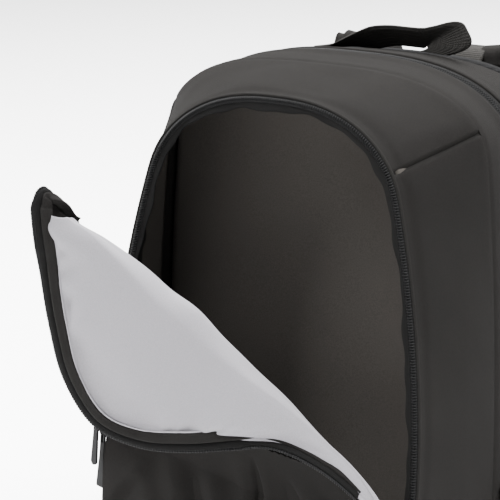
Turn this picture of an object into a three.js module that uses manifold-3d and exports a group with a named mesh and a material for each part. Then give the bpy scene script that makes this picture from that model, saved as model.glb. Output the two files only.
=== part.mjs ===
// A laptop backpack that stands by itself, with its front compartment unzipped and folded open.
// Millimetres. +Z is up, the front of the bag faces -Y, left and right are as seen from the front.
// The origin is the centre of the flat base.
import * as THREE from 'three';
import { mergeVertices } from 'three/addons/utils/BufferGeometryUtils.js';
import Module from 'manifold-3d';

const wasm = await Module();
wasm.setup();

// Driving dimensions of the body
const bagHeight = 446;
const bagHalfWidth = 167;
const rimY = -105;
const jointY = -25;
const mainZipFrontY = 14;
const mainZipBackY = 32;
const backY = 98;
const rimLean = 5;
const rimLeanPivotZ = 250;
const baseCornerRadius = 45;
const sideTaperLength = 290;

// Cloth, foam and clearances
const clothWall = 2.4;
const thinCloth = 1.5;
const seamGap = 0.3;
const dividerThickness = 6;
const dividerSetback = 6;
const backPadThickness = 14;
const backPadCrown = 8;

// Zips
const coilWidth = 5;
const coilHeight = 2.2;
const tapeThickness = 1.2;
const rimTapeWidth = 11;
const rimZipEndZ = 78;
const mainZipEndZ = 120;
const facingWidth = 15;
const facingRuffle = 1.3;
const facingRuffles = 24;
const facingInset = clothWall + 2.6;

// The front panel, unzipped down to two points and folded over a slanting crest
const flapReach = 170;
const foldLeftZ = 145;
const foldRightZ = 100;
const flapCloth = 1.6;
const liningThickness = 3.2;
const bindingWidth = 12;
const bindingThickness = 4.8;
const flapCoilWidth = 4;
const foldOverlap = 1.5;
const liningSetback = 14;
const liningEnd = 0.97;
const cutLiningSide = 4.6;
const cutClothSide = 3.8;
const lowerPanelBulge = 9;
const panelStand = 1;
const tapeClearance = 0.8;

// Pulls that hang from the two parked sliders
const sliderLength = 11;
const sliderWidth = 8;
const pullThickness = 1.8;
const roundPullLength = 42;
const roundPullWidth = 8;
const squarePullLength = 47;
const squarePullWidth = 10;
const upperPullSwing = 35;
const sliderTurn = 20;
const sliderInset = 1.5;
const mainSliderRise = 56;
const mainPullLength = 38;

// Haul loop, shoulder straps and their webbing
const loopWidth = 25;
const loopThickness = 2.6;
const loopSpan = 45;
const loopRise = 11;
const loopEdge = 2;
const topClearance = 0.6;
const strapTopHalfWidth = 34;
const strapEndHalfWidth = 24;
const strapThickness = 13;
const strapAnchorX = 48;
const strapEndX = 104;
const strapStand = 20;
const backClearance = 0.5;
const strapAnchorZ = 426;
const strapEndZ = 168;
const webbingWidth = 25;
const webbingThickness = 2;
const webClearance = 0.4;
const webbingAnchorX = 0.766 * bagHalfWidth;
const webbingAnchorZ = 40;
const buckleWidth = 36;
const buckleHeight = 30;
const buckleThickness = 4;

// Side pockets
const pocketHemZ = 128;
const pocketBottomZ = 14;
const pocketFrontY = -18;
const pocketBackY = 88;
const pocketBulge = 16;
const pocketClearance = 0.8;

// Cross sections of the body from front to back. Widths are shares of bagHalfWidth, heights of bagHeight.
// power squares the top corners, taper narrows the top, lean tilts the section backwards in degrees.
const stations = {
  rim: { y: rimY, lean: rimLean, half: 0.874, top: 0.96, base: 0.063, corner: 0.155, power: 2.5, taper: 0.354 },
  swell: { y: (2 * rimY + 3 * jointY) / 5, lean: rimLean / 2, half: 0.935, top: 0.985, base: 0.018, corner: 0.157,
    power: 2.65, taper: 0.21 },
  joint: { y: jointY, lean: 0, half: 0.962, top: 1, base: 0, corner: 0.157, power: 2.8, taper: 0.11 },
  zipFront: { y: mainZipFrontY, lean: 0, half: 1, top: 1.005, base: 0, corner: 0.2, power: 2.7, taper: 0.14 },
  zipBack: { y: mainZipBackY, lean: 0, half: 1, top: 1.005, base: 0, corner: 0.2, power: 2.7, taper: 0.14 },
  back: { y: backY, lean: 0, half: 0.96, top: 0.985, base: 0, corner: 0.17, power: 2.7, taper: 0.12 },
};

// Rows of the folded front panel along the crest, from its free tip to the right end of the fold.
// x is a share of bagHalfWidth, z of bagHeight, out of flapReach in front of the rim plane.
const flapRows = [
  { along: 0.0, crestX: -0.51, crestOut: 0.98, crestZ: 0.845, edgeX: -0.595, edgeOut: 1.02, edgeZ: 0.8 },
  { along: 0.07, crestX: -0.43, crestOut: 0.88, crestZ: 0.808, edgeX: -0.59, edgeOut: 0.98, edgeZ: 0.75 },
  { along: 0.16, crestX: -0.32, crestOut: 0.81, crestZ: 0.762, edgeX: -0.57, edgeOut: 0.92, edgeZ: 0.706 },
  { along: 0.26, crestX: -0.18, crestOut: 0.72, crestZ: 0.709, edgeX: -0.55, edgeOut: 0.86, edgeZ: 0.61 },
  { along: 0.35, crestX: -0.07, crestOut: 0.66, crestZ: 0.67, edgeX: -0.5, edgeOut: 0.8, edgeZ: 0.511 },
  { along: 0.44, crestX: 0.04, crestOut: 0.6, crestZ: 0.639, edgeX: -0.37, edgeOut: 0.73, edgeZ: 0.433 },
  { along: 0.53, crestX: 0.14, crestOut: 0.52, crestZ: 0.59, edgeX: -0.17, edgeOut: 0.65, edgeZ: 0.404 },
  { along: 0.63, crestX: 0.25, crestOut: 0.44, crestZ: 0.54, edgeX: 0.04, edgeOut: 0.59, edgeZ: 0.406 },
  { along: 0.73, crestX: 0.37, crestOut: 0.36, crestZ: 0.491, edgeX: 0.21, edgeOut: 0.52, edgeZ: 0.414 },
  { along: 0.83, crestX: 0.49, crestOut: 0.25, crestZ: 0.426, edgeX: 0.38, edgeOut: 0.44, edgeZ: 0.418 },
  { along: 0.91, crestX: 0.62, crestOut: 0.14, crestZ: 0.361, edgeX: 0.55, edgeOut: 0.33, edgeZ: 0.384 },
  { along: 0.97, crestX: 0.73, crestOut: 0.07, crestZ: 0.296, edgeX: 0.68, edgeOut: 0.19, edgeZ: 0.323 },
  { along: 1.0, crestX: 0.79, crestOut: 0.05, crestZ: 0.25, edgeX: 0.775, edgeOut: 0.09, edgeZ: 0.26 },
];
const cornerRow = 0.44;
const tipCrestRadius = 12;
const endCrestRadius = 6;
const tipShare = 0.2;

// Mesh densities
const loopSteps = 32;
const flapSteps = 15;
const acrossSteps = 10;

const vec = (x, y, z) => new THREE.Vector3(x, y, z);
const mix = (a, b, t) => a + (b - a) * t;
const mixVec = (a, b, t) => a.clone().lerp(b, t);
const range = (count) => Array.from({ length: count + 1 }, (_, i) => i / count);
const radians = THREE.MathUtils.degToRad;

// Body outline: s runs from the middle of the base up the right side, over the top and down the left side.
const flatShare = 0.12;
const bendShare = 0.2;
const sideShare = 0.55;

function sectionPoint(station, s, inset = 0) {
  const turnShare = (s + 1) % 1;
  const half = turnShare <= 0.5 ? 2 * turnShare : 2 * (1 - turnShare);
  const width = station.half * bagHalfWidth - inset;
  const top = station.top * bagHeight - inset;
  const base = station.base * bagHeight + inset;
  const corner = station.corner * bagHeight - inset;
  const radius = baseCornerRadius - inset;
  const narrowing = (down) => 1 - station.taper * Math.max(0, 1 - (down + inset) / sideTaperLength) ** 2;
  let x;
  let z;
  if (half <= flatShare) {
    x = (width - radius) * half / flatShare;
    z = base;
  } else if (half <= bendShare) {
    const turn = Math.PI / 2 * (half - flatShare) / (bendShare - flatShare);
    x = width - radius + radius * Math.sin(turn);
    z = base + radius * (1 - Math.cos(turn));
  } else if (half <= sideShare) {
    z = mix(base + radius, top - corner, (half - bendShare) / (sideShare - bendShare));
    x = width * narrowing(top - z);
  } else {
    const turn = Math.PI / 2 * (half - sideShare) / (1 - sideShare);
    const down = corner * (1 - Math.sin(turn) ** (2 / station.power));
    x = width * narrowing(down) * Math.max(Math.cos(turn), 0) ** (2 / station.power);
    z = top - down;
  }
  const y = station.y + Math.tan(radians(station.lean)) * (z - rimLeanPivotZ);
  return vec(turnShare <= 0.5 ? x : -x, y, z);
}

// The share of the right half at which a section reaches a height above its bottom bend
function shareAtHeight(station, z) {
  let low = bendShare / 2;
  let high = 0.5;
  for (let step = 0; step < 40; step += 1) {
    const middle = (low + high) / 2;
    if (sectionPoint(station, middle).z < z) low = middle;
    else high = middle;
  }
  return (low + high) / 2;
}

function blendStation(a, b, t) {
  return Object.fromEntries(Object.keys(a).map((key) => [key, mix(a[key], b[key], t)]));
}

// Unit normals of a grid of points: rows i, columns j, pointing along (step in i) x (step in j)
function gridNormals(grid, wrap) {
  const rows = grid.length;
  const columns = grid[0].length;
  return grid.map((row, i) => row.map((point, j) => {
    const down = grid[Math.min(i + 1, rows - 1)][j].clone().sub(grid[Math.max(i - 1, 0)][j]);
    const next = wrap ? (j + 1) % columns : Math.min(j + 1, columns - 1);
    const previous = wrap ? (j + columns - 1) % columns : Math.max(j - 1, 0);
    const across = row[next].clone().sub(row[previous]);
    return down.cross(across).normalize();
  }));
}

// Normals of a body band kept in its upright sections, so that neighbouring bands end face to face
function sectionNormals(grid, wrap) {
  return gridNormals(grid, wrap).map((row) => row.map((normal) => normal.setY(0).normalize()));
}

function geometryOf(points, triangles) {
  const geometry = new THREE.BufferGeometry();
  const positions = points.flatMap((point) => [point.x, point.y, point.z]);
  geometry.setAttribute('position', new THREE.Float32BufferAttribute(positions, 3));
  geometry.setIndex(triangles);
  return geometry;
}

// A closed sheet of cloth between two offsets of a grid. low and high may be numbers or functions of (i, j).
function sheet(grid, low, high, wrap = false, normals = gridNormals(grid, wrap)) {
  const rows = grid.length;
  const columns = grid[0].length;
  const value = (offset, i, j) => (typeof offset === 'function' ? offset(i, j) : offset);
  const points = [];
  for (const offset of [high, low]) {
    grid.forEach((row, i) => row.forEach((point, j) => {
      points.push(point.clone().addScaledVector(normals[i][j], value(offset, i, j)));
    }));
  }
  const top = (i, j) => i * columns + (j % columns);
  const under = (i, j) => rows * columns + top(i, j);
  const triangles = [];
  const quad = (a, b, c, d) => triangles.push(a, b, c, a, c, d);
  const lastColumn = wrap ? columns : columns - 1;
  for (let i = 0; i < rows - 1; i += 1) {
    for (let j = 0; j < lastColumn; j += 1) {
      quad(top(i, j), top(i + 1, j), top(i + 1, j + 1), top(i, j + 1));
      quad(under(i, j), under(i, j + 1), under(i + 1, j + 1), under(i + 1, j));
    }
  }
  for (let j = 0; j < lastColumn; j += 1) {
    quad(top(0, j), top(0, j + 1), under(0, j + 1), under(0, j));
    quad(top(rows - 1, j), under(rows - 1, j), under(rows - 1, j + 1), top(rows - 1, j + 1));
  }
  if (!wrap) {
    for (let i = 0; i < rows - 1; i += 1) {
      quad(top(i, 0), under(i, 0), under(i + 1, 0), top(i + 1, 0));
      const edge = columns - 1;
      quad(top(i, edge), top(i + 1, edge), under(i + 1, edge), under(i, edge));
    }
  }
  return geometryOf(points, triangles);
}

// A closed pad made of rings from front to back, closed by a point at each end
function pad(rings, frontCentre, backCentre) {
  const count = rings[0].length;
  const points = [frontCentre, ...rings.flat(), backCentre];
  const at = (i, j) => 1 + i * count + (j % count);
  const end = points.length - 1;
  const triangles = [];
  for (let j = 0; j < count; j += 1) {
    triangles.push(0, at(0, j), at(0, j + 1));
    for (let i = 0; i < rings.length - 1; i += 1) {
      triangles.push(at(i, j), at(i + 1, j), at(i + 1, j + 1), at(i, j), at(i + 1, j + 1), at(i, j + 1));
    }
    triangles.push(end, at(rings.length - 1, j + 1), at(rings.length - 1, j));
  }
  return geometryOf(points, triangles);
}

function solidOf(geometry) {
  const bare = geometry.clone();
  bare.deleteAttribute('normal');
  bare.deleteAttribute('uv');
  const merged = mergeVertices(bare, 1e-4);
  const mesh = new wasm.Mesh({
    numProp: 3,
    vertProperties: new Float32Array(merged.attributes.position.array),
    triVerts: new Uint32Array(merged.index.array),
  });
  return new wasm.Manifold(mesh);
}

function geometryOfSolid(solid) {
  const mesh = solid.getMesh();
  const geometry = new THREE.BufferGeometry();
  geometry.setAttribute('position', new THREE.BufferAttribute(new Float32Array(mesh.vertProperties), 3));
  geometry.setIndex([...mesh.triVerts]);
  return geometry;
}

const join = (a, b) => geometryOfSolid(solidOf(a).add(solidOf(b)));
const cut = (a, b) => {
  const bodies = solidOf(a).subtract(solidOf(b)).decompose();
  return geometryOfSolid(bodies.reduce((best, body) => (body.volume() > best.volume() ? body : best)));
};

// Materials
const look = (color, roughness, metalness = 0) => new THREE.MeshStandardMaterial({ color, roughness, metalness });
const shellCloth = look(0x3b3a39, 0.85);
const darkCloth = look(0x242322, 0.9);
const liningCloth = look(0xc4c2c8, 0.6);
const webbing = look(0x353433, 0.8);
const coilNylon = look(0x2b2a2a, 0.5);
const meshCloth = look(0x2c2b2b, 0.95);
const blackPlastic = look(0x1b1b1b, 0.4);
const pullMetal = look(0x3a3a3c, 0.3, 0.8);

const backpack = new THREE.Group();

function addPart(name, geometry, material, parent = backpack) {
  const mesh = new THREE.Mesh(geometry, material);
  mesh.name = name;
  parent.add(mesh);
  return mesh;
}

// A band of the body between two or more sections, over a range of s that may differ from row to row
function bodyBand(rows, steps, wrap = false) {
  return rows.map(({ station, from = 0, to = 1, inset = 0 }) => (
    range(steps).slice(0, wrap ? steps : steps + 1).map((share) => sectionPoint(station, mix(from, to, share), inset))
  ));
}

function shifted(station, dy) {
  return { ...station, y: station.y + dy };
}

// Front gusset: a top panel between two slanting seams, two side panels and a base panel
const slantRimZ = 0.854 * bagHeight;
const slantJointZ = 0.91 * bagHeight;
const baseSeam = bendShare / 2;
const seamShare = seamGap / 2 / (bagHeight + 2 * bagHalfWidth) / 2;
const slant = {
  rim: shareAtHeight(stations.rim, slantRimZ),
  joint: shareAtHeight(stations.joint, slantJointZ),
};
const gussetRows = [
  { station: stations.rim, seam: slant.rim },
  { station: blendStation(stations.rim, stations.swell, 0.5), seam: mix(slant.rim, slant.joint, 0.3) },
  { station: stations.swell, seam: mix(slant.rim, slant.joint, 0.6) },
  { station: blendStation(stations.swell, stations.joint, 0.5), seam: mix(slant.rim, slant.joint, 0.8) },
  { station: shifted(stations.joint, -seamGap / 2), seam: slant.joint },
];

// Each panel has its own columns, and the columns on the two sides of a seam lie a seam gap apart
const gussetPanels = [
  { name: 'front_base_panel', steps: 12, from: () => -baseSeam, to: () => baseSeam },
  { name: 'front_side_panel_right', steps: 14, from: () => baseSeam, to: (seam) => seam },
  { name: 'front_top_panel', steps: 22, from: (seam) => seam, to: (seam) => 1 - seam },
  { name: 'front_side_panel_left', steps: 14, from: (seam) => 1 - seam, to: () => 1 - baseSeam },
];
const gussetGrid = gussetRows.map(({ station, seam }) => gussetPanels.flatMap(({ steps, from, to }) => (
  range(steps).map((share) => sectionPoint(station, mix(from(seam) + seamShare, to(seam) - seamShare, share)))
)));
const gussetNormals = sectionNormals(gussetGrid, true);
for (const row of gussetNormals) {
  let seamColumn = -1;
  for (const { steps } of gussetPanels) {
    seamColumn += steps + 1;
    const nextColumn = (seamColumn + 1) % row.length;
    const shared = row[seamColumn].clone().add(row[nextColumn]).normalize();
    row[seamColumn].copy(shared);
    row[nextColumn].copy(shared);
  }
}
let firstColumn = 0;
for (const { name, steps } of gussetPanels) {
  const pick = (row) => row.slice(firstColumn, firstColumn + steps + 1);
  addPart(name, sheet(gussetGrid.map(pick), -clothWall, 0, false, gussetNormals.map(pick)), shellCloth);
  firstColumn += steps + 1;
}

// Main gusset: one ring from the joint seam to the back, slit for the main zip
const mainZipShare = shareAtHeight(stations.zipFront, mainZipEndZ);

function mainZipBand(front, back, low, high, from, to) {
  const rows = [stations.zipFront, stations.zipBack].map((station, i) => (
    { station: shifted(station, i ? back : front), from, to }
  ));
  const grid = bodyBand(rows, loopSteps);
  return sheet(grid, low, high, false, sectionNormals(grid, false));
}

const mainRingGrid = bodyBand([
  { station: shifted(stations.joint, seamGap / 2) },
  { station: stations.zipFront },
  { station: stations.zipBack },
  { station: blendStation(stations.zipBack, stations.back, 0.5) },
  { station: stations.back },
], loopSteps, true);
const mainRing = sheet(mainRingGrid, -clothWall, 0, true, sectionNormals(mainRingGrid, true));
const zipSlit = mainZipBand(0, 0, -2 * clothWall, 2 * clothWall, mainZipShare, 1 - mainZipShare);
addPart('main_gusset', cut(mainRing, zipSlit), shellCloth);

// Main zip: two tapes and a closed coil that fill the slit
const zipEndShare = 0.002;
const coilMiddle = (mainZipFrontY + mainZipBackY) / 2;
const coilRows = [
  { y: mainZipFrontY + seamGap, rise: 0 },
  { y: coilMiddle - coilWidth / 2, rise: 0 },
  { y: coilMiddle - coilWidth / 4, rise: coilHeight - tapeThickness },
  { y: coilMiddle + coilWidth / 4, rise: coilHeight - tapeThickness },
  { y: coilMiddle + coilWidth / 2, rise: 0 },
  { y: mainZipBackY - seamGap, rise: 0 },
];
const mainZipGrid = bodyBand(coilRows.map(({ y }) => ({
  station: { ...stations.zipFront, y },
  from: mainZipShare + zipEndShare,
  to: 1 - mainZipShare - zipEndShare,
})), loopSteps);
addPart('main_zip', sheet(mainZipGrid, -tapeThickness - 0.6, (i) => coilRows[i].rise - 0.6), coilNylon);

// Divider between the front and the main compartment
function insetLoop(station, inset, scale, dy) {
  const middle = vec(0, 0, (station.top + station.base) * bagHeight / 2);
  return range(loopSteps).slice(0, loopSteps).map((s) => {
    const point = sectionPoint(station, s, inset);
    return vec(point.x * scale, point.y + dy, mix(middle.z, point.z, scale));
  });
}

function plate(station, inset, dyFront, dyBack, crown, frontShare = 0.97) {
  const rings = [
    insetLoop(station, inset, frontShare, dyFront),
    insetLoop(station, inset, 1, dyFront + (dyBack - dyFront) * 0.3),
    insetLoop(station, inset, 1, dyFront + (dyBack - dyFront) * 0.7),
    insetLoop(station, inset, 0.97, dyBack),
    insetLoop(station, inset, 0.7, dyBack + crown * 0.75),
  ];
  const height = (station.top + station.base) * bagHeight / 2;
  return pad(rings, vec(0, station.y + dyFront, height), vec(0, station.y + dyBack + crown, height));
}

addPart('divider_panel', plate(stations.joint, clothWall + 1.8, dividerSetback, dividerSetback + dividerThickness, 0),
  darkCloth);

// Back panel: foam under mesh cloth, crowned where it meets the wearer's back
addPart('back_panel', plate(stations.back, 0, seamGap, seamGap + backPadThickness, backPadCrown, 1),
  meshCloth);

// Front zip: tape and coil round the rim of the front opening
const rimZipShare = shareAtHeight(stations.rim, rimZipEndZ);
const rimTapeRows = [
  { inset: rimTapeWidth, rise: 0 },
  { inset: 1.5 + coilWidth, rise: 0 },
  { inset: 1 + coilWidth * 0.8, rise: coilHeight },
  { inset: 1 + coilWidth * 0.2, rise: coilHeight },
  { inset: 0.6, rise: 0 },
];
const rimZipGrid = bodyBand(rimTapeRows.map(({ inset }) => ({
  station: shifted(stations.rim, -seamGap),
  from: rimZipShare,
  to: 1 - rimZipShare,
  inset,
})), loopSteps);
addPart('front_zip', sheet(rimZipGrid, 0, (i) => tapeThickness + rimTapeRows[i].rise), coilNylon);

// Facing: a gathered strip of cloth inside the front rim
const facingRows = [0.6, 0.6 + facingWidth / 2, 0.6 + facingWidth];
const facingSteps = facingRuffles * 2;
const facingGrid = facingRows.map((depth, i) => range(facingSteps).map((share, j) => {
  const ruffle = i === 0 ? 0 : facingRuffle * (j % 2) * i / 2;
  return sectionPoint(shifted(blendStation(stations.rim, stations.swell, depth / (stations.swell.y - rimY)), 0),
    mix(rimZipShare, 1 - rimZipShare, share), facingInset + ruffle);
}));
addPart('front_facing', sheet(facingGrid, -0.8, 0.3), darkCloth);

// Folded front panel as a surface: along runs down the crest, across from the hidden side over the crest to the edge
const rimPlaneY = (z) => rimY + Math.tan(radians(rimLean)) * (z - rimLeanPivotZ);
const flapPoint = (x, out, z) => vec(x * bagHalfWidth, rimPlaneY(z * bagHeight) - out * flapReach, z * bagHeight);
const onRimAt = (z, side) => {
  const share = shareAtHeight(stations.rim, z);
  return sectionPoint(shifted(stations.rim, -panelStand), side > 0 ? share : 1 - share, rimTapeWidth + tapeClearance);
};
const foldLeft = onRimAt(foldLeftZ, -1);
const foldRight = onRimAt(foldRightZ, 1);
const tipBehind = flapPoint(flapRows[0].crestX + 0.02, flapRows[0].crestOut - 0.04, flapRows[0].crestZ - 0.01);

function sampleRows(pick) {
  const curve = new THREE.CatmullRomCurve3(flapRows.map(pick), false, 'centripetal');
  return (along) => {
    let row = 0;
    while (row < flapRows.length - 2 && along > flapRows[row + 1].along) row += 1;
    const start = flapRows[row].along;
    const part = (along - start) / (flapRows[row + 1].along - start);
    return curve.getPoint((row + part) / (flapRows.length - 1));
  };
}

const crestAt = sampleRows((row) => flapPoint(row.crestX, row.crestOut, row.crestZ));
const edgeAt = sampleRows((row) => flapPoint(row.edgeX, row.edgeOut, row.edgeZ));

function hiddenSideAt(along) {
  if (along < cornerRow) return mixVec(tipBehind, foldLeft, mix(tipShare, 1, along / cornerRow));
  return mixVec(foldLeft, foldRight, (along - cornerRow) / (1 - cornerRow));
}

function flapRow(along) {
  const hidden = hiddenSideAt(along);
  const crest = crestAt(along);
  const edge = edgeAt(along);
  const behind = mixVec(hidden, crest, 0.5);
  const rise = hidden.distanceTo(crest);
  behind.y += 0.07 * rise;
  behind.z += 0.02 * rise;
  const front = mixVec(crest, edge, 0.5);
  front.y -= 0.05 * crest.distanceTo(edge);
  const toHidden = behind.clone().sub(crest).normalize();
  const toEdge = front.clone().sub(crest).normalize();
  const inward = toHidden.clone().add(toEdge).normalize();
  const sideways = toHidden.clone().sub(toEdge).normalize();
  const radius = mix(tipCrestRadius, endCrestRadius, Math.min(along / cornerRow, 1));
  const size = Math.min(radius, 0.3 * rise, 0.4 * crest.distanceTo(edge));
  const shoulder = (side) => crest.clone().addScaledVector(inward, 0.6 * size).addScaledVector(sideways, side * size);
  const points = [hidden, behind, shoulder(1), crest, shoulder(-1), front, edge];
  const curve = new THREE.CatmullRomCurve3(points, false, 'centripetal');
  curve.arcLengthDivisions = 60;
  return curve;
}

// A point of a row, past a distance from its foot. The crest is always at half of the way.
function rowPoint(curve, setback, share) {
  const start = curve.getUtoTmapping(0, Math.min(setback, 0.35 * curve.getLength()));
  return curve.getPoint(share < 0.5 ? mix(start, 0.5, 2 * share) : mix(0.5, 1, 2 * share - 1));
}

// Grid of the folded panel: rows down the crest, columns from the foot or the hidden edge over to the rim
function flapGrid(setback, lastRow = 1) {
  return range(flapSteps).map((share) => {
    const along = share * lastRow;
    const curve = flapRow(along);
    const foot = along < cornerRow ? 0 : setback;
    return range(acrossSteps).map((across) => rowPoint(curve, foot, across));
  });
}

// The free edge as a path: up the hidden edge, over the tip and down the rim
const edgeInside = 0.01;
const tipSteps = 8;
const rimSteps = 18;

function freeEdge(start, end) {
  const path = [
    ...range(6).slice(0, 6).map((share) => ({ along: mix(start, 0, share), across: 0 })),
    ...range(tipSteps).slice(0, tipSteps).map((share) => ({ along: 0, across: share })),
    ...range(rimSteps).map((share) => ({ along: mix(0, end, share), across: 1 })),
  ];
  const at = (along, across) => rowPoint(flapRow(along), 0, across);
  const points = path.map(({ along, across }) => at(along, across));
  const edge = path.map(({ along, across }, k) => {
    const inAlong = THREE.MathUtils.clamp(along, edgeInside, 1 - edgeInside);
    const inAcross = THREE.MathUtils.clamp(across, edgeInside, 1 - edgeInside);
    const down = at(inAlong + edgeInside, inAcross).sub(at(inAlong - edgeInside, inAcross));
    const over = at(inAlong, inAcross + edgeInside).sub(at(inAlong, inAcross - edgeInside));
    const normal = down.cross(over).normalize();
    const forwards = points[Math.min(k + 1, points.length - 1)].clone().sub(points[Math.max(k - 1, 0)]);
    const inward = forwards.cross(normal).normalize();
    return { point: points[k], normal, inward };
  });
  return [1, 2].reduce((smoothed) => smoothed.map(({ point, normal, inward }, k) => {
    const before = smoothed[Math.max(k - 1, 0)];
    const after = smoothed[Math.min(k + 1, smoothed.length - 1)];
    return {
      point,
      normal: normal.clone().add(before.normal).add(after.normal).normalize(),
      inward: inward.clone().add(before.inward).add(after.inward).normalize(),
    };
  }), edge);
}

// A strip beside the free edge between two distances from it and two offsets from the panel's surface
function edgeStrip(edge, near, far, low, high) {
  const distances = [near, (near + far) / 2, far];
  const grid = distances.map((distance) => edge.map(({ point, inward }) => (
    point.clone().addScaledVector(inward, distance)
  )));
  return sheet(grid, low, high, false, distances.map(() => edge.map(({ normal }) => normal)));
}

// The front panel: the part still zipped in below the fold, joined to the folded part in one piece of cloth
const leftShare = 1 - shareAtHeight(stations.rim, foldLeftZ);
const rightShare = shareAtHeight(stations.rim, foldRightZ);
const lowerSteps = 20;
const lowerRows = 6;
const foldDirection = vec(0, Math.tan(radians(rimLean)), 1).normalize();
// Below its ends the zip leaves room for the panel, which widens between these depths below them
const insetStart = 34;
const insetEnd = 18;
const lowerInsetAt = (z) => mix(clothWall + 2 * seamGap, rimTapeWidth + tapeClearance,
  THREE.MathUtils.smoothstep(z, rimZipEndZ - insetStart, rimZipEndZ - insetEnd));
const lowerGrid = range(lowerRows).map((down) => range(lowerSteps).map((share) => {
  const upper = mixVec(foldLeft, foldRight, share).addScaledVector(foldDirection, foldOverlap);
  const lowerShare = mix(leftShare - 1, rightShare, share);
  const lowerZ = sectionPoint(stations.rim, lowerShare).z;
  const lower = sectionPoint(shifted(stations.rim, -panelStand), lowerShare, lowerInsetAt(lowerZ));
  const point = mixVec(upper, lower, down);
  point.y -= lowerPanelBulge * Math.sin(Math.PI * down) * Math.sin(Math.PI * share);
  return point;
}));
const forward = lowerGrid.map((row) => row.map(() => vec(0, -1, 0)));
const lowerPanel = sheet(lowerGrid, 0.2, 0.2 + flapCloth, false, forward);
// The same edge, longer at both ends, for cutting room for what is sewn to it
function lengthened(edge, extra) {
  const end = (own, next) => {
    const away = own.point.clone().sub(next.point).setLength(extra);
    return { ...own, point: own.point.clone().add(away) };
  };
  return [end(edge[0], edge[1]), ...edge.slice(1, -1), end(edge.at(-1), edge.at(-2))];
}

const boundEdge = freeEdge(0.95 * cornerRow, 0.97);
const slotEdge = lengthened(boundEdge, 4);
const bindingSlot = edgeStrip(slotEdge, -bindingWidth / 2, bindingWidth + 2 * seamGap, -cutLiningSide, cutClothSide);
const foldedPanel = cut(sheet(flapGrid(0), 0.2, 0.2 + flapCloth), bindingSlot);
addPart('front_panel', join(lowerPanel, foldedPanel), shellCloth);
const panelRoom = sheet(flapGrid(0), -0.05, 0.2 + flapCloth + seamGap);
const liningSheet = sheet(flapGrid(liningSetback, liningEnd), -liningThickness - 0.2, -0.2);
const liningSlot = edgeStrip(slotEdge, -bindingWidth / 2, bindingWidth + 4 * seamGap, -cutLiningSide, cutClothSide);
addPart('flap_lining', cut(cut(liningSheet, panelRoom), liningSlot), liningCloth);
const coilRoom = edgeStrip(slotEdge, -flapCoilWidth, flapCoilWidth + 2 * seamGap, -cutLiningSide, cutClothSide);
addPart('flap_binding', cut(edgeStrip(boundEdge, flapCoilWidth / 2, bindingWidth, -bindingThickness / 2,
  bindingThickness / 2), coilRoom), darkCloth);
addPart('flap_zip', edgeStrip(boundEdge, 0, flapCoilWidth, -coilHeight / 2, coilHeight / 2), coilNylon);

// Zip sliders: a plate with a bail. The pull's top bar lies between the plate and the bail.
// In a slider's own frame its front faces -Y and the zip runs along Z.
const plateThickness = 2;
const bailReach = 6.4;
const bailBar = 1.3;
const bailHalfHeight = 4.2;
const pullBar = 1.8;
const pullHoleHalfWidth = 1.3;
const linkHalfWidth = 2.9;
const linkLength = 9;
const pullCorner = 1.2;

function extruded(shape, depth, curveSegments = 6) {
  return new THREE.ExtrudeGeometry(shape, { depth, bevelEnabled: false, curveSegments });
}

function sliderGeometry() {
  const plate = new THREE.BoxGeometry(sliderWidth, plateThickness, sliderLength).translate(0, -plateThickness / 2, 0);
  const profile = new THREE.Shape();
  profile.moveTo(plateThickness / 2, -bailHalfHeight);
  profile.lineTo(bailReach - bailBar, -bailHalfHeight);
  profile.lineTo(bailReach, -bailHalfHeight + bailBar);
  profile.lineTo(bailReach, bailHalfHeight - bailBar);
  profile.lineTo(bailReach - bailBar, bailHalfHeight);
  profile.lineTo(plateThickness / 2, bailHalfHeight);
  profile.lineTo(plateThickness / 2, bailHalfHeight - bailBar);
  profile.lineTo(bailReach - bailBar, bailHalfHeight - bailBar);
  profile.lineTo(bailReach - bailBar, bailBar - bailHalfHeight);
  profile.lineTo(plateThickness / 2, bailBar - bailHalfHeight);
  // Profile x becomes -Y, profile y becomes Z and the depth becomes X
  const bail = extruded(profile, bailBar).translate(0, 0, -bailBar / 2);
  bail.applyMatrix4(new THREE.Matrix4().makeBasis(vec(0, -1, 0), vec(0, 0, 1), vec(-1, 0, 0)));
  return join(plate, bail);
}

// A plate of one thickness in the XZ plane, from an outline in its own x and y
function standingPlate(outline, thickness) {
  return extruded(outline, thickness).translate(0, 0, -thickness / 2).rotateX(Math.PI / 2);
}

// The link hangs round the bail's lower leg, which is the origin of its frame, and swings out over what is below
const linkLift = (swing) => bailBar / 2 / Math.cos(swing) + pullThickness / 2 * Math.tan(swing) + seamGap;
function linkGeometry(swing) {
  const lift = linkLift(swing);
  const outline = new THREE.Shape();
  outline.moveTo(-linkHalfWidth, lift + pullBar);
  outline.lineTo(-linkHalfWidth, -linkLength);
  outline.lineTo(linkHalfWidth, -linkLength);
  outline.lineTo(linkHalfWidth, lift + pullBar);
  const hole = new THREE.Path();
  hole.moveTo(-pullHoleHalfWidth, lift);
  hole.lineTo(-pullHoleHalfWidth, pullBar - linkLength);
  hole.lineTo(pullHoleHalfWidth, pullBar - linkLength);
  hole.lineTo(pullHoleHalfWidth, lift);
  outline.holes.push(hole);
  return standingPlate(outline, pullThickness).rotateX(-swing);
}

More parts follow.
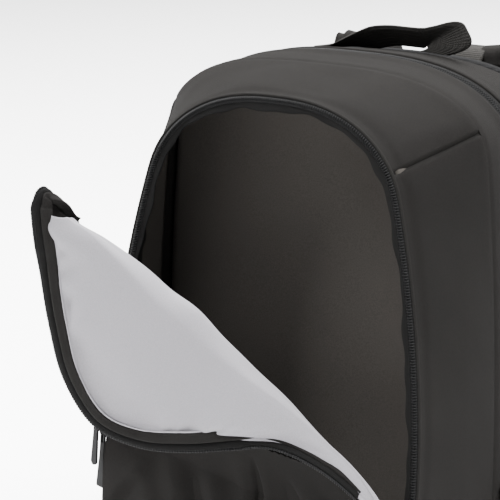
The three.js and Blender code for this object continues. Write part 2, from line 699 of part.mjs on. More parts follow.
function pullGeometry(length, width, round, swing) {
  const half = width / 2;
  const top = pullBar - linkLength * Math.cos(swing);
  const bottom = linkLift(0) + pullBar - length;
  const shoulder = mix(top, bottom, 0.25);
  const outline = new THREE.Shape();
  outline.moveTo(-linkHalfWidth, top);
  outline.lineTo(-linkHalfWidth, shoulder);
  outline.lineTo(-half, bottom + (round ? half : pullCorner));
  if (round) outline.absarc(0, bottom + half, half, Math.PI, 2 * Math.PI, false);
  else {
    outline.lineTo(pullCorner - half, bottom);
    outline.lineTo(half - pullCorner, bottom);
    outline.lineTo(half, bottom + pullCorner);
  }
  outline.lineTo(linkHalfWidth, shoulder);
  outline.lineTo(linkHalfWidth, top);
  const plate = standingPlate(outline, pullThickness).translate(0, -linkLength * Math.sin(swing), 0);
  return join(linkGeometry(swing), plate);
}

// The link's top bar turns back towards the plate as the link swings out
function pullOffset(swing) {
  const reach = (linkLift(swing) + pullBar / 2) * Math.sin(swing);
  return plateThickness + seamGap + reach + pullThickness / 2 * Math.cos(swing) + pullBar / 2 * Math.sin(swing);
}

function addSlider(names, place, turn, lean, pull) {
  const seat = new THREE.Group();
  seat.position.copy(place);
  seat.rotation.set(-lean, 0, turn, 'ZXY');
  addPart(names.slider, sliderGeometry(), blackPlastic, seat);
  const hanging = addPart(names.pull, pullGeometry(pull.length, pull.width, pull.round, pull.swing), pullMetal, seat);
  hanging.position.set(0, -pullOffset(pull.swing), bailBar / 2 - bailHalfHeight);
  backpack.add(seat);
}

// Both sliders of the front zip are parked at the left end of the fold, one above the other
const sliderPitch = sliderLength + 3;
const rimSliderAt = (z) => {
  const share = 1 - shareAtHeight(stations.rim, z);
  const proud = 3 * seamGap + tapeThickness + coilHeight;
  return sectionPoint(shifted(stations.rim, -proud), share, sliderInset);
};
addSlider({ slider: 'front_slider_upper', pull: 'front_pull_upper' }, rimSliderAt(foldLeftZ + sliderPitch),
  -radians(sliderTurn), radians(rimLean),
  { length: roundPullLength, width: roundPullWidth, round: true, swing: radians(upperPullSwing) });
addSlider({ slider: 'front_slider_lower', pull: 'front_pull_lower' },
  rimSliderAt(foldLeftZ), -radians(sliderTurn), radians(rimLean),
  { length: squarePullLength, width: squarePullWidth, round: false, swing: 0 });

// The main zip is closed, with its slider at the lower left end
const mainSliderPlace = sectionPoint({ ...stations.zipFront, y: coilMiddle },
  1 - shareAtHeight(stations.zipFront, mainZipEndZ + mainSliderRise));
mainSliderPlace.x -= coilHeight - tapeThickness;
addSlider({ slider: 'main_slider', pull: 'main_pull' }, mainSliderPlace, -Math.PI / 2, 0,
  { length: mainPullLength, width: roundPullWidth, round: true, swing: 0 });

// A band of cloth or foam along a path, with its width along the axis that axisAt gives
function band(path, steps, widthAt, axisAt, low, high, columns = 1) {
  const curve = new THREE.CatmullRomCurve3(path, false, 'centripetal');
  const grid = range(steps).map((share) => range(columns).map((across) => (
    curve.getPointAt(share).addScaledVector(axisAt(share), (across - 0.5) * widthAt(share))
  )));
  return sheet(grid, low, high);
}

const alongX = () => vec(1, 0, 0);

// Haul loop: webbing along the back edge of the top, standing up in an arch between two stitched ends
const loopY = backY - loopWidth / 2 - loopEdge;
const loopStation = blendStation(stations.zipBack, stations.back, (loopY - mainZipBackY) / (backY - mainZipBackY));
function topHeightAt(x) {
  let low = 0.25;
  let high = 0.5;
  for (let step = 0; step < 30; step += 1) {
    const middle = (low + high) / 2;
    if (sectionPoint(loopStation, middle).x > x) low = middle;
    else high = middle;
  }
  return sectionPoint(loopStation, low).z;
}
const loopPath = [
  { x: -1.6, rise: 0 },
  { x: -1.3, rise: 0.02 },
  { x: -1, rise: 0.2 },
  { x: -0.7, rise: 0.5 },
  { x: -0.35, rise: 0.85 },
  { x: 0, rise: 1 },
  { x: 0.3, rise: 1 },
  { x: 0.5, rise: 1.02 },
  { x: 0.88, rise: 1.25 },
  { x: 0.87, rise: 0.6 },
  { x: 0.78, rise: 0.1 },
].map(({ x, rise }) => {
  const place = x * loopSpan;
  return vec(place, loopY, topHeightAt(Math.abs(place)) + topClearance + rise * loopRise);
});

// The band lies flat at its left end, stands up in the middle and turns down in its own plane on the right,
// where it is widest at the fold
const loopAxes = [
  { share: 0, x: 0, y: -1, z: 0.12, width: 1 },
  { share: 0.14, x: 0, y: -1, z: 0.12, width: 1 },
  { share: 0.42, x: 0, y: -0.68, z: 0.73, width: 1 },
  { share: 0.74, x: 0, y: -0.68, z: 0.73, width: 1 },
  { share: 0.89, x: 0.74, y: -0.35, z: 0.57, width: 1.55 },
  { share: 1, x: 1, y: -0.05, z: -0.06, width: 1 },
];
function loopRow(share) {
  const next = Math.max(1, loopAxes.findIndex((row) => row.share >= share));
  const [a, b] = [loopAxes[next - 1], loopAxes[next]];
  const t = (share - a.share) / (b.share - a.share);
  return Object.fromEntries(Object.keys(a).map((key) => [key, mix(a[key], b[key], t)]));
}
const loopAxis = (share) => {
  const { x, y, z } = loopRow(share);
  return vec(x, y, z).normalize();
};
const loopWidthAt = (share) => loopWidth * loopRow(share).width;
addPart('haul_loop', band(loopPath, 26, loopWidthAt, loopAxis, -loopThickness, 0), webbing);

// Shoulder straps hang on the back panel, each ending in an adjuster and a length of webbing
const backMiddleZ = (stations.back.top + stations.back.base) * bagHeight / 2;
function backFaceY(x, z) {
  const share = Math.max(Math.abs(x) / (stations.back.half * bagHalfWidth), Math.abs(z - backMiddleZ) / backMiddleZ);
  const crown = share < 0.7 ? mix(1, 0.75, share / 0.7) : mix(0.75, 0, Math.min((share - 0.7) / 0.27, 1));
  return backY + seamGap + backPadThickness + crown * backPadCrown;
}
const strapRows = [
  { x: 0, drop: 0, stand: 0 },
  { x: 0.04, drop: -0.045, stand: 0.45 },
  { x: 0.1, drop: 0.04, stand: 0.9 },
  { x: 0.22, drop: 0.28, stand: 1 },
  { x: 0.48, drop: 0.52, stand: 0.85 },
  { x: 0.78, drop: 0.77, stand: 0.4 },
  { x: 1, drop: 1, stand: 0 },
];
const padProfile = (j) => (j === 0 || j === 4 ? 0.5 : 1);

for (const [side, sign] of [['right', 1], ['left', -1]]) {
  const strapPath = strapRows.map(({ x, drop, stand }) => {
    const place = mix(strapAnchorX, strapEndX, x);
    const height = mix(strapAnchorZ, strapEndZ, drop);
    return vec(sign * place, backFaceY(place, height) + strapThickness / 2 + backClearance + stand * strapStand, height);
  });
  const halfThickness = (i, j) => strapThickness / 2 * padProfile(j);
  const strapWidth = (share) => 2 * mix(strapTopHalfWidth, strapEndHalfWidth, share);
  addPart(`shoulder_strap_${side}`, band(strapPath, 14, strapWidth, alongX, (i, j) => -halfThickness(i, j),
    halfThickness, 4), meshCloth);

  const buckleTop = strapEndZ - 2 * seamGap;
  const buckleY = backFaceY(strapEndX, strapEndZ) + strapThickness / 2 + backClearance;
  const frameShape = new THREE.Shape();
  const halfWidth = buckleWidth / 2;
  const corner = 3;
  frameShape.moveTo(-halfWidth, 0);
  frameShape.lineTo(halfWidth, 0);
  frameShape.lineTo(halfWidth, -buckleHeight + corner);
  frameShape.lineTo(halfWidth - corner, -buckleHeight);
  frameShape.lineTo(corner - halfWidth, -buckleHeight);
  frameShape.lineTo(-halfWidth, -buckleHeight + corner);
  for (const slotTop of [-0.2, -0.58]) {
    const slot = new THREE.Path();
    slot.moveTo(-webbingWidth / 2 - 1, slotTop * buckleHeight);
    slot.lineTo(-webbingWidth / 2 - 1, (slotTop - 0.2) * buckleHeight);
    slot.lineTo(webbingWidth / 2 + 1, (slotTop - 0.2) * buckleHeight);
    slot.lineTo(webbingWidth / 2 + 1, slotTop * buckleHeight);
    frameShape.holes.push(slot);
  }
  const buckle = extruded(frameShape, buckleThickness).translate(0, 0, -buckleThickness / 2).rotateX(Math.PI / 2);
  addPart(`strap_adjuster_${side}`, buckle.translate(sign * strapEndX, buckleY, buckleTop), blackPlastic);

  const webTop = buckleTop - 0.3 * buckleHeight;
  const behind = buckleThickness / 2 + seamGap + webbingThickness / 2;
  const webPath = [
    vec(sign * strapEndX, buckleY - behind, webTop),
    vec(sign * strapEndX, buckleY - behind, buckleTop - buckleHeight - 2),
    vec(sign * mix(strapEndX, webbingAnchorX, 0.5), backFaceY(webbingAnchorX, mix(webTop, webbingAnchorZ, 0.6))
      + 4, mix(webTop, webbingAnchorZ, 0.6)),
    vec(sign * webbingAnchorX, backFaceY(webbingAnchorX, webbingAnchorZ) + webbingThickness / 2 + webClearance,
      webbingAnchorZ),
  ];
  addPart(`lower_webbing_${side}`, band(webPath, 10, () => webbingWidth, alongX, -webbingThickness / 2,
    webbingThickness / 2), webbing);

  const pocketGrid = range(6).map((down) => range(10).map((over) => {
    const share = sign > 0 ? over : 1 - over;
    const y = mix(pocketFrontY, pocketBackY, share);
    const z = mix(pocketHemZ, pocketBottomZ, down);
    const station = y < mainZipFrontY
      ? blendStation(stations.joint, stations.zipFront, (y - jointY) / (mainZipFrontY - jointY))
      : blendStation(stations.zipBack, stations.back, Math.max(0, (y - mainZipBackY) / (backY - mainZipBackY)));
    const bulge = pocketBulge * Math.sin(Math.PI * share) ** 0.6 * Math.cos(Math.PI / 2 * down) ** 0.5;
    const point = sectionPoint(station, shareAtHeight(station, z));
    return vec(sign * (point.x + pocketClearance + bulge), y, z);
  }));
  addPart(`side_pocket_${side}`, sheet(pocketGrid, 0, thinCloth), meshCloth);
}

export default backpack;
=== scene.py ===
"""Looks of the laptop backpack: cloth, zips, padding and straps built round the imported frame.

Sizes are in millimetres and become metres where a mesh is made. +Z is up and the bag's front faces -Y.
"""
import math

import bmesh
import bpy
import numpy as np
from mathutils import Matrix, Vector


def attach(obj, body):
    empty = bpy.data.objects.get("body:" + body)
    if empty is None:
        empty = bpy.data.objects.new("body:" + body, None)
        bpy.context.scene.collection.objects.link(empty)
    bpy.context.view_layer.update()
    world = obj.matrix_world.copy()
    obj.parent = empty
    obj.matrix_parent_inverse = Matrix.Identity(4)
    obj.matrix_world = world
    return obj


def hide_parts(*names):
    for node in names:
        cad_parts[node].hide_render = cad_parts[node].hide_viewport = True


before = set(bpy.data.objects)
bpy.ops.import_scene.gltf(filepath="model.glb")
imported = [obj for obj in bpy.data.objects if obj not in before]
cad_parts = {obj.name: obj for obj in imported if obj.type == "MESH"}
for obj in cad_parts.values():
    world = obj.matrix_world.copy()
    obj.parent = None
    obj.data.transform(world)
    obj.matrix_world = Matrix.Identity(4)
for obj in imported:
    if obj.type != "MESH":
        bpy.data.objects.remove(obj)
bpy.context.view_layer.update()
MM = 0.001

# Driving sizes, as in the frame
BAG_HEIGHT = 446.0
BAG_HALF_WIDTH = 167.0
RIM_Y = -105.0
JOINT_Y = -25.0
ZIP_FRONT_Y = 14.0
ZIP_BACK_Y = 32.0
BACK_Y = 98.0
RIM_LEAN = 5.0
RIM_LEAN_PIVOT_Z = 250.0
BASE_CORNER_RADIUS = 45.0
SIDE_TAPER_LENGTH = 290.0
CLOTH_WALL = 2.4
SEAM_GAP = 0.3
RIM_ZIP_END_Z = 78.0
MAIN_ZIP_END_Z = 120.0
FLAP_REACH = 170.0
FOLD_LEFT_Z = 145.0
FOLD_RIGHT_Z = 100.0
RIM_TAPE_WIDTH = 11.0
BINDING_WIDTH = 12.0
SLANT_RIM_Z = 381.0
SLANT_JOINT_Z = 406.0
COIL_PITCH = 2.1

# Camera fitted to the photograph, in millimetres and degrees
CAMERA_TARGET = (-86.0, 0.0, 279.0)
CAMERA_DISTANCE = 1900.0
CAMERA_AZIMUTH = 35.0
CAMERA_ELEVATION = 13.5
FOCAL_SHARE = 1.215 * 1900.0 / 500.0
SENSOR_WIDTH = 36.0

STATIONS = {
    "rim": dict(y=RIM_Y, lean=RIM_LEAN, half=0.874, top=0.96, base=0.063,
                corner=0.155, power=2.5, taper=0.354),
    "swell": dict(y=(2 * RIM_Y + 3 * JOINT_Y) / 5, lean=RIM_LEAN / 2, half=0.935, top=0.985, base=0.018,
                  corner=0.157, power=2.65, taper=0.21),
    "joint": dict(y=JOINT_Y, lean=0, half=0.962, top=1.0, base=0, corner=0.157, power=2.8, taper=0.11),
    "zip_front": dict(y=ZIP_FRONT_Y, lean=0, half=1.0, top=1.005, base=0, corner=0.2, power=2.7, taper=0.14),
    "zip_back": dict(y=ZIP_BACK_Y, lean=0, half=1.0, top=1.005, base=0, corner=0.2, power=2.7, taper=0.14),
    "back": dict(y=BACK_Y, lean=0, half=0.96, top=0.985, base=0, corner=0.17, power=2.7, taper=0.12),
}

# Rows of the folded front panel down its crest, as in the frame
FLAP_COLUMNS = ("along", "crest_x", "crest_out", "crest_z", "edge_x", "edge_out", "edge_z")
FLAP_ROWS = np.array([
    (0.0, -0.52, 0.98, 0.845, -0.543, 1.02, 0.817),
    (0.07, -0.44, 0.89, 0.786, -0.545, 0.98, 0.75),
    (0.16, -0.32, 0.81, 0.754, -0.564, 0.92, 0.706),
    (0.26, -0.18, 0.72, 0.709, -0.55, 0.86, 0.61),
    (0.35, -0.07, 0.66, 0.67, -0.5, 0.8, 0.511),
    (0.44, 0.04, 0.6, 0.639, -0.37, 0.73, 0.433),
    (0.53, 0.14, 0.52, 0.59, -0.17, 0.65, 0.404),
    (0.63, 0.25, 0.44, 0.54, 0.04, 0.59, 0.406),
    (0.73, 0.37, 0.36, 0.491, 0.21, 0.52, 0.414),
    (0.83, 0.49, 0.25, 0.426, 0.38, 0.44, 0.418),
    (0.91, 0.62, 0.14, 0.361, 0.55, 0.33, 0.384),
    (0.97, 0.73, 0.07, 0.296, 0.68, 0.19, 0.323),
    (1.0, 0.79, 0.05, 0.25, 0.775, 0.09, 0.26),
])
CORNER_ROW = 0.44
TIP_CREST_RADIUS = 12.0
END_CREST_RADIUS = 6.0
TIP_SHARE = 0.2

FLAT_SHARE = 0.12
BEND_SHARE = 0.2
SIDE_SHARE = 0.55


def mix(a, b, t):
    return a + (b - a) * t


def smooth(low, high, value):
    t = np.clip((value - low) / (high - low), 0, 1)
    return t * t * (3 - 2 * t)


def bump(value, middle, width):
    return np.exp(-((value - middle) / width) ** 2)


def unit(v):
    return v / np.maximum(np.linalg.norm(v, axis=-1, keepdims=True), 1e-9)


# Body outline: s runs from the middle of the base up the right side, over the top and down the left side
def section(station, s, inset=0.0):
    turn_share = np.mod(np.asarray(s, float) + 1, 1)
    half = np.where(turn_share <= 0.5, 2 * turn_share, 2 * (1 - turn_share))
    width = station["half"] * BAG_HALF_WIDTH - inset
    top = station["top"] * BAG_HEIGHT - inset
    base = station["base"] * BAG_HEIGHT + inset
    corner = station["corner"] * BAG_HEIGHT - inset
    radius = BASE_CORNER_RADIUS - inset
    power = 2 / station["power"]

    def narrowing(down):
        return 1 - station["taper"] * np.maximum(0, 1 - (down + inset) / SIDE_TAPER_LENGTH) ** 2

    bend = math.pi / 2 * (half - FLAT_SHARE) / (BEND_SHARE - FLAT_SHARE)
    side_z = mix(base + radius, top - corner, (half - BEND_SHARE) / (SIDE_SHARE - BEND_SHARE))
    arch = np.clip(math.pi / 2 * (half - SIDE_SHARE) / (1 - SIDE_SHARE), 0, math.pi / 2)
    down = corner * (1 - np.sin(arch) ** power)
    zones = [half <= FLAT_SHARE, half <= BEND_SHARE, half <= SIDE_SHARE]
    x = np.select(zones, [
        (width - radius) * half / FLAT_SHARE,
        width - radius + radius * np.sin(bend),
        width * narrowing(top - side_z),
    ], width * narrowing(down) * np.maximum(np.cos(arch), 0) ** power)
    z = np.select(zones, [base + 0 * half, base + radius * (1 - np.cos(bend)), side_z], top - down)
    y = station["y"] + math.tan(math.radians(station["lean"])) * (z - RIM_LEAN_PIVOT_Z)
    return np.stack([np.where(turn_share <= 0.5, x, -x), y, z], axis=-1)


def share_where(too_low, low, high, halvings):
    """The share at which too_low stops being true, by halving the span."""
    for _ in range(halvings):
        middle = (low + high) / 2
        low, high = (middle, high) if too_low(middle) else (low, middle)
    return low


def share_at_height(station, z):
    return share_where(lambda share: section(station, share)[2] < z, BEND_SHARE / 2, 0.5, 40)


def path_length(points):
    """Distance of every point of a path from its start, along the path."""
    return np.concatenate([[0], np.cumsum(np.linalg.norm(np.diff(points, axis=0), axis=1))])


def at_lengths(where, length, points):
    return np.stack([np.interp(where, length, points[:, k]) for k in range(3)], axis=-1)


def blend_station(a, b, t):
    return {key: mix(a[key], b[key], t) for key in a}


def shifted(station, dy):
    return {**station, "y": station["y"] + dy}


def even_shares(station, start, end, count):
    """Shares from start to end at even distances along a section."""
    fine = np.linspace(start, end, 1500)
    length = path_length(section(station, fine))
    return np.interp(np.linspace(0, length[-1], count), length, fine)


# Catmull-Rom curves with centripetal spacing, as the frame's surfaces use them
def curve_points(points, t):
    points = np.asarray(points, float)
    t = np.atleast_1d(np.asarray(t, float))
    count = len(points)
    place = (count - 1) * t
    index = np.clip(np.floor(place).astype(int), 0, count - 2)
    weight = (place - index)[:, None]
    padded_points = np.concatenate([[2 * points[0] - points[1]], points, [2 * points[-1] - points[-2]]])
    p0, p1, p2, p3 = (padded_points[index + k] for k in range(4))

    def spacing(a, b):
        return np.maximum(np.sum((a - b) ** 2, axis=1), 1e-8)[:, None] ** 0.25

    d0, d1, d2 = spacing(p0, p1), spacing(p1, p2), spacing(p2, p3)
    t1 = ((p1 - p0) / d0 - (p2 - p0) / (d0 + d1) + (p2 - p1) / d1) * d1
    t2 = ((p2 - p1) / d1 - (p3 - p1) / (d1 + d2) + (p3 - p2) / d2) * d1
    c2 = -3 * p1 + 3 * p2 - 2 * t1 - t2
    c3 = 2 * p1 - 2 * p2 + t1 + t2
    return p1 + t1 * weight + c2 * weight ** 2 + c3 * weight ** 3


def resampled(points, shares):
    length = path_length(points)
    return at_lengths(np.asarray(shares) * length[-1], length, points)


def rim_plane_y(z):
    return RIM_Y + math.tan(math.radians(RIM_LEAN)) * (z - RIM_LEAN_PIVOT_Z)


def flap_point(x, out, z):
    return np.array([x * BAG_HALF_WIDTH, rim_plane_y(z * BAG_HEIGHT) - out * FLAP_REACH, z * BAG_HEIGHT])


def on_rim(z, side):
    share = share_at_height(STATIONS["rim"], z)
    return section(shifted(STATIONS["rim"], -1), share if side > 0 else 1 - share, RIM_TAPE_WIDTH + 0.8)


fold_left = on_rim(FOLD_LEFT_Z, -1)
fold_right = on_rim(FOLD_RIGHT_Z, 1)
tip_row = dict(zip(FLAP_COLUMNS, FLAP_ROWS[0]))
tip_behind = flap_point(tip_row["crest_x"] + 0.02, tip_row["crest_out"] - 0.04, tip_row["crest_z"] - 0.01)
crest_controls = [flap_point(*row[1:4]) for row in FLAP_ROWS]
edge_controls = [flap_point(*row[4:7]) for row in FLAP_ROWS]


def on_rows(controls, along):
    along_column = FLAP_ROWS[:, 0]
    place = np.interp(along, along_column, np.arange(len(along_column))) / (len(along_column) - 1)
    return curve_points(controls, place)[0]


def hidden_side(along):
    if along < CORNER_ROW:
        return mix(tip_behind, fold_left, mix(TIP_SHARE, 1, along / CORNER_ROW))
    return mix(fold_left, fold_right, (along - CORNER_ROW) / (1 - CORNER_ROW))


def flap_row(along):
    """Control points of one row: from the hidden side over the crest to the rim."""
    hidden = hidden_side(along)
    crest = on_rows(crest_controls, along)
    edge = on_rows(edge_controls, along)
    rise = np.linalg.norm(hidden - crest)
    reach = np.linalg.norm(edge - crest)
    behind = mix(hidden, crest, 0.5) + np.array([0, 0.07, 0.02]) * rise
    front = mix(crest, edge, 0.5) + np.array([0, -0.05, 0]) * reach
    to_hidden = unit(behind - crest)
    to_edge = unit(front - crest)
    inward = unit(to_hidden + to_edge)
    sideways = unit(to_hidden - to_edge)
    radius = mix(TIP_CREST_RADIUS, END_CREST_RADIUS, min(along / CORNER_ROW, 1))
    size = min(radius, 0.3 * rise, 0.4 * reach)
    shoulders = [crest + inward * 0.6 * size + sideways * side * size for side in (1, -1)]
    return [hidden, behind, shoulders[0], crest, shoulders[1], front, edge]


def flap_at(along, across):
    """A point of the folded panel: across is 0 on the hidden side, 0.5 on the crest and 1 on the rim."""
    return curve_points(flap_row(along), across)[0]


def flap_grid(rows, half_columns, first_row=0.0, last_row=1.0, setback=0.0, edge_setback=0.0):
    """Even grid of the folded panel, with the crest in its middle column."""
    grid = []
    fine = np.linspace(0, 1, 161)
    for share in np.linspace(0, 1, rows):
        along = mix(first_row, last_row, share)
        dense = curve_points(flap_row(along), fine)
        back_leaf, front_leaf = dense[:81], dense[80:]
        start = min(setback / path_length(back_leaf)[-1], 0.3) if along >= CORNER_ROW else 0
        stop = 1 - min(edge_setback / path_length(front_leaf)[-1], 0.6)
        columns = np.linspace(0, 1, half_columns + 1)
        back_points = resampled(back_leaf, mix(start, 1, columns))
        front_points = resampled(front_leaf, columns * stop)
        grid.append(np.concatenate([back_points, front_points[1:]]))
    return np.array(grid)


def smoothed(values, passes):
    for _ in range(passes):
        padded_values = np.concatenate([values[:1], values, values[-1:]])
        values = (padded_values[:-2] + 2 * padded_values[1:-1] + padded_values[2:]) / 4
    return values


FRAME_PASSES = 6


def path_frames(points, normals, count):
    """A path with a frame at every point: its direction, the way off the surface, and inward to the piece."""
    length = path_length(points)
    where = np.linspace(0, length[-1], count)
    place = at_lengths(where, length, points)
    normal = unit(smoothed(at_lengths(where, length, normals), FRAME_PASSES))
    tangent = unit(np.gradient(smoothed(place, 2), axis=0))
    inward = unit(smoothed(np.cross(tangent, normal), FRAME_PASSES))
    return dict(point=place, normal=normal, inward=inward, length=where)


def frames_between(frames, start, end):
    """The part of the frames between the two points of the path nearest to start and end."""
    nearest = [np.argmin(np.linalg.norm(frames["point"] - place, axis=1)) for place in (start, end)]
    return {key: values[nearest[0]:nearest[1]] for key, values in frames.items()}


def point_inside(curve, reach):
    """The point of a curve at a distance from its start, at most at 60 per cent of its length."""
    length = path_length(curve)
    return at_lengths(min(reach, 0.6 * length[-1]), length, curve)


def free_edge(start=0.95 * CORNER_ROW, end=0.97, reach=14.0):
    """Points along the folded panel's free edge, and the point of the panel at reach inside each of them."""
    fine = np.linspace(0, 1, 121)
    points, inners = [], []
    for along in np.linspace(start, 0, 60)[:-1]:
        curve = curve_points(flap_row(along), fine)
        points.append(curve[0])
        inners.append(point_inside(curve[:61], reach))
    tip_alongs = np.linspace(0, 0.12, 13)
    tip_curves = np.array([curve_points(flap_row(along), fine) for along in tip_alongs])
    for column in range(0, 120, 2):
        points.append(tip_curves[0, column])
        inners.append(point_inside(tip_curves[:, column], reach))
    for along in np.linspace(0, end, 220):
        curve = curve_points(flap_row(along), fine)
        points.append(curve[-1])
        inners.append(point_inside(curve[:59:-1], reach))
    return np.array(points), np.array(inners)


def edge_frames(points, inners, count, passes, corner, width):
    """Frames along the free edge whose inward side follows the panel, with its corners rounded."""
    length = path_length(points)
    where = np.linspace(0, length[-1], count)
    place = at_lengths(where, length, points)
    inner = at_lengths(where, length, inners)
    inward = smoothed(unit(inner - place), passes)
    place = smoothed(place, corner)
    tangent = unit(np.gradient(smoothed(place, 2), axis=0))
    inward = unit(inward - tangent * np.sum(inward * tangent, axis=1, keepdims=True))
    spacing = where[1] - where[0]
    bend = np.maximum(np.sum(np.gradient(tangent, axis=0) * inward, axis=1) / spacing, 0)
    fit = smoothed(np.minimum(1, 0.8 / np.maximum(smoothed(bend, passes) * width, 1e-6)), passes)
    return dict(point=place, normal=np.cross(inward, tangent), inward=inward, length=where, fit=fit)


# Meshes
def add_mesh(name, points, faces, material, uv):
    """A smooth mesh from points in millimetres, a list of faces and each point's pair of texture lengths."""
    mesh = bpy.data.meshes.new(name)
    mesh.from_pydata((points * MM).tolist(), [], faces)
    mesh.update()
    layer = mesh.uv_layers.new(name="UVMap")
    corners = np.empty(len(mesh.loops), dtype=np.int32)
    mesh.loops.foreach_get("vertex_index", corners)
    layer.data.foreach_set("uv", (uv[corners] * MM).ravel())
    mesh.polygons.foreach_set("use_smooth", [True] * len(mesh.polygons))
    mesh.materials.append(material)
    obj = bpy.data.objects.new(name, mesh)
    bpy.context.scene.collection.objects.link(obj)
    return obj


def grid_faces(rows, columns, wrap=False):
    i, j = np.meshgrid(np.arange(rows - 1), np.arange(columns if wrap else columns - 1), indexing="ij")
    across = (j + 1) % columns
    quads = [i * columns + j, (i + 1) * columns + j, (i + 1) * columns + across, i * columns + across]
    return np.stack(quads, axis=-1).reshape(-1, 4)


def grid_normals(grid, wrap=False):
    down = np.gradient(grid, axis=0)
    if wrap:
        across = (np.roll(grid, -1, axis=1) - np.roll(grid, 1, axis=1)) / 2
    else:
        across = np.gradient(grid, axis=1)
    return unit(np.cross(down, across))


def grid_uv(grid):
    down = np.linalg.norm(np.diff(grid, axis=0), axis=2).mean(axis=1)
    across = np.linalg.norm(np.diff(grid, axis=1), axis=2).mean(axis=0)
    u = np.concatenate([[0], np.cumsum(across)])
    v = np.concatenate([[0], np.cumsum(down)])
    return np.stack(np.meshgrid(u, v), axis=-1).reshape(-1, 2)


def slab(name, grid, low, high, material, wrap=False, normals=None):
    """A closed sheet of cloth: the grid moved to two offsets along its normals, with walls between them."""
    rows, columns = grid.shape[:2]
    normals = grid_normals(grid, wrap) if normals is None else normals
    low = np.broadcast_to(low, (rows, columns))[..., None]
    high = np.broadcast_to(high, (rows, columns))[..., None]
    points = np.concatenate([(grid + normals * high).reshape(-1, 3), (grid + normals * low).reshape(-1, 3)])
    top = grid_faces(rows, columns, wrap)
    under = top[:, ::-1] + rows * columns
    span = np.arange(columns if wrap else columns - 1)
    ahead = (span + 1) % columns
    last = (rows - 1) * columns
    borders = [(span, ahead), (last + ahead, last + span)]
    if not wrap:
        down = np.arange(rows - 1) * columns
        edge = down + columns - 1
        borders += [(down + columns, down), (edge, edge + columns)]
    shift = rows * columns
    walls = [np.stack([here, there, there + shift, here + shift], axis=-1) for here, there in borders]
    uv = grid_uv(grid)
    faces = np.concatenate([top, under] + walls).tolist()
    return add_mesh(name, points, faces, material, np.concatenate([uv, uv]))


def sweep(name, frames, profile, material):
    """A closed profile carried along frames, with closed ends.

    profile is an array of (inward, outward) pairs, or a function that gives such an array for every frame.
    """
    count = len(frames["point"])
    shape = profile() if callable(profile) else np.broadcast_to(profile, (count,) + profile.shape)
    points = (frames["point"][:, None] + frames["inward"][:, None] * shape[..., :1]
              + frames["normal"][:, None] * shape[..., 1:])
    uv = np.stack(np.meshgrid(path_length(shape[0]), frames["length"]), axis=-1).reshape(-1, 2)
    faces = grid_faces(count, shape.shape[1], wrap=True).tolist()
    obj = add_mesh(name, points.reshape(-1, 3), faces, material, uv)
    body = bmesh.new()
    body.from_mesh(obj.data)
    bmesh.ops.holes_fill(body, edges=[edge for edge in body.edges if edge.is_boundary], sides=0)
    bmesh.ops.recalc_face_normals(body, faces=body.faces)
    body.to_mesh(obj.data)
    body.free()
    return obj


def ripples(points, wavelength, seed, count=7):
    """Smooth uneven waves between about -1 and 1 over space."""
    draw = np.random.default_rng(seed)
    ways = unit(draw.normal(size=(count, 3)))
    stretch = draw.uniform(0.7, 1.5, count)
    phase = draw.uniform(0, 2 * math.pi, count)
    angle = points @ ways.T * (2 * math.pi / wavelength) * stretch + phase
    return np.sin(angle).mean(axis=-1) * 1.6


def rode(obj, slot, *nodes):
    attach(obj, "root")
    if nodes:
        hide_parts(*nodes)
    return obj


# Materials
def new_material(name):
    material = bpy.data.materials.new(name)
    material.use_nodes = True
    return material, material.node_tree, material.node_tree.nodes["Principled BSDF"]


def set_values(node, values):
    for socket, value in values.items():
        node.inputs[socket].default_value = value


def add_node(tree, kind, values, sources, **settings):
    """A shader node with the values of its sockets and the outputs that feed the others."""
    node = tree.nodes.new("ShaderNode" + kind)
    for setting, value in settings.items():
        setattr(node, setting, value)
    set_values(node, values)
    for socket, output in sources.items():
        tree.links.new(output, node.inputs[socket])
    return node


def color_ramp(tree, output, stops):
    ramp = add_node(tree, "ValToRGB", {}, {"Fac": output})
    for stop, (position, color) in zip(ramp.color_ramp.elements, stops):
        stop.position = position
        stop.color = (*color, 1)
    return ramp.outputs["Color"]


def add_relief(tree, shader, output, strength, depth_m):
    relief = add_node(tree, "Bump", {"Strength": strength, "Distance": depth_m}, {"Height": output})
    tree.links.new(relief.outputs["Normal"], shader.inputs["Normal"])


# The wave texture's bands are 2 pi / 20 apart at a scale of 1
WAVE_SCALE = 0.314
CLOTH_SPECULAR = 0.06
BLOTCH_SHARE = 0.25


def cloth(name, light, dark, grain, thread, roughness, sheen, relief):
    """Woven cloth: threads from two waves, heathered grain and large soft blotches of colour.

    grain and thread are widths in millimetres.
    """
    material, tree, shader = new_material(name)
    set_values(shader, {"Roughness": roughness, "Sheen Weight": sheen, "Sheen Roughness": 0.5,
                        "Specular IOR Level": CLOTH_SPECULAR})
    place = add_node(tree, "TexCoord", {}, {}).outputs
    waves = [
        add_node(tree, "TexWave", {"Scale": WAVE_SCALE / (thread * MM), "Distortion": 1.2, "Detail": 1.0},
                 {"Vector": place["UV"]}, bands_direction=direction).outputs["Fac"]
        for direction in ("X", "Y")
    ]
    weave = add_node(tree, "Math", {}, {0: waves[0], 1: waves[1]}, operation="MULTIPLY").outputs[0]
    fine, large = [
        add_node(tree, "TexNoise", {"Scale": scale, "Detail": detail}, {"Vector": place["Object"]}).outputs[0]
        for scale, detail in ((1 / (grain * MM), 3.0), (14.0, 2.0))
    ]
    sums = dict(operation="MULTIPLY_ADD")
    shade = add_node(tree, "Math", {1: BLOTCH_SHARE}, {0: large, 2: fine}, **sums).outputs[0]
    tree.links.new(color_ramp(tree, shade, ((0.35, dark), (0.85, light))), shader.inputs["Base Color"])
    height = add_node(tree, "Math", {1: 0.6}, {0: fine, 2: weave}, **sums).outputs[0]
    add_relief(tree, shader, height, relief, 0.0004)
    return material


WEAR = 0.004


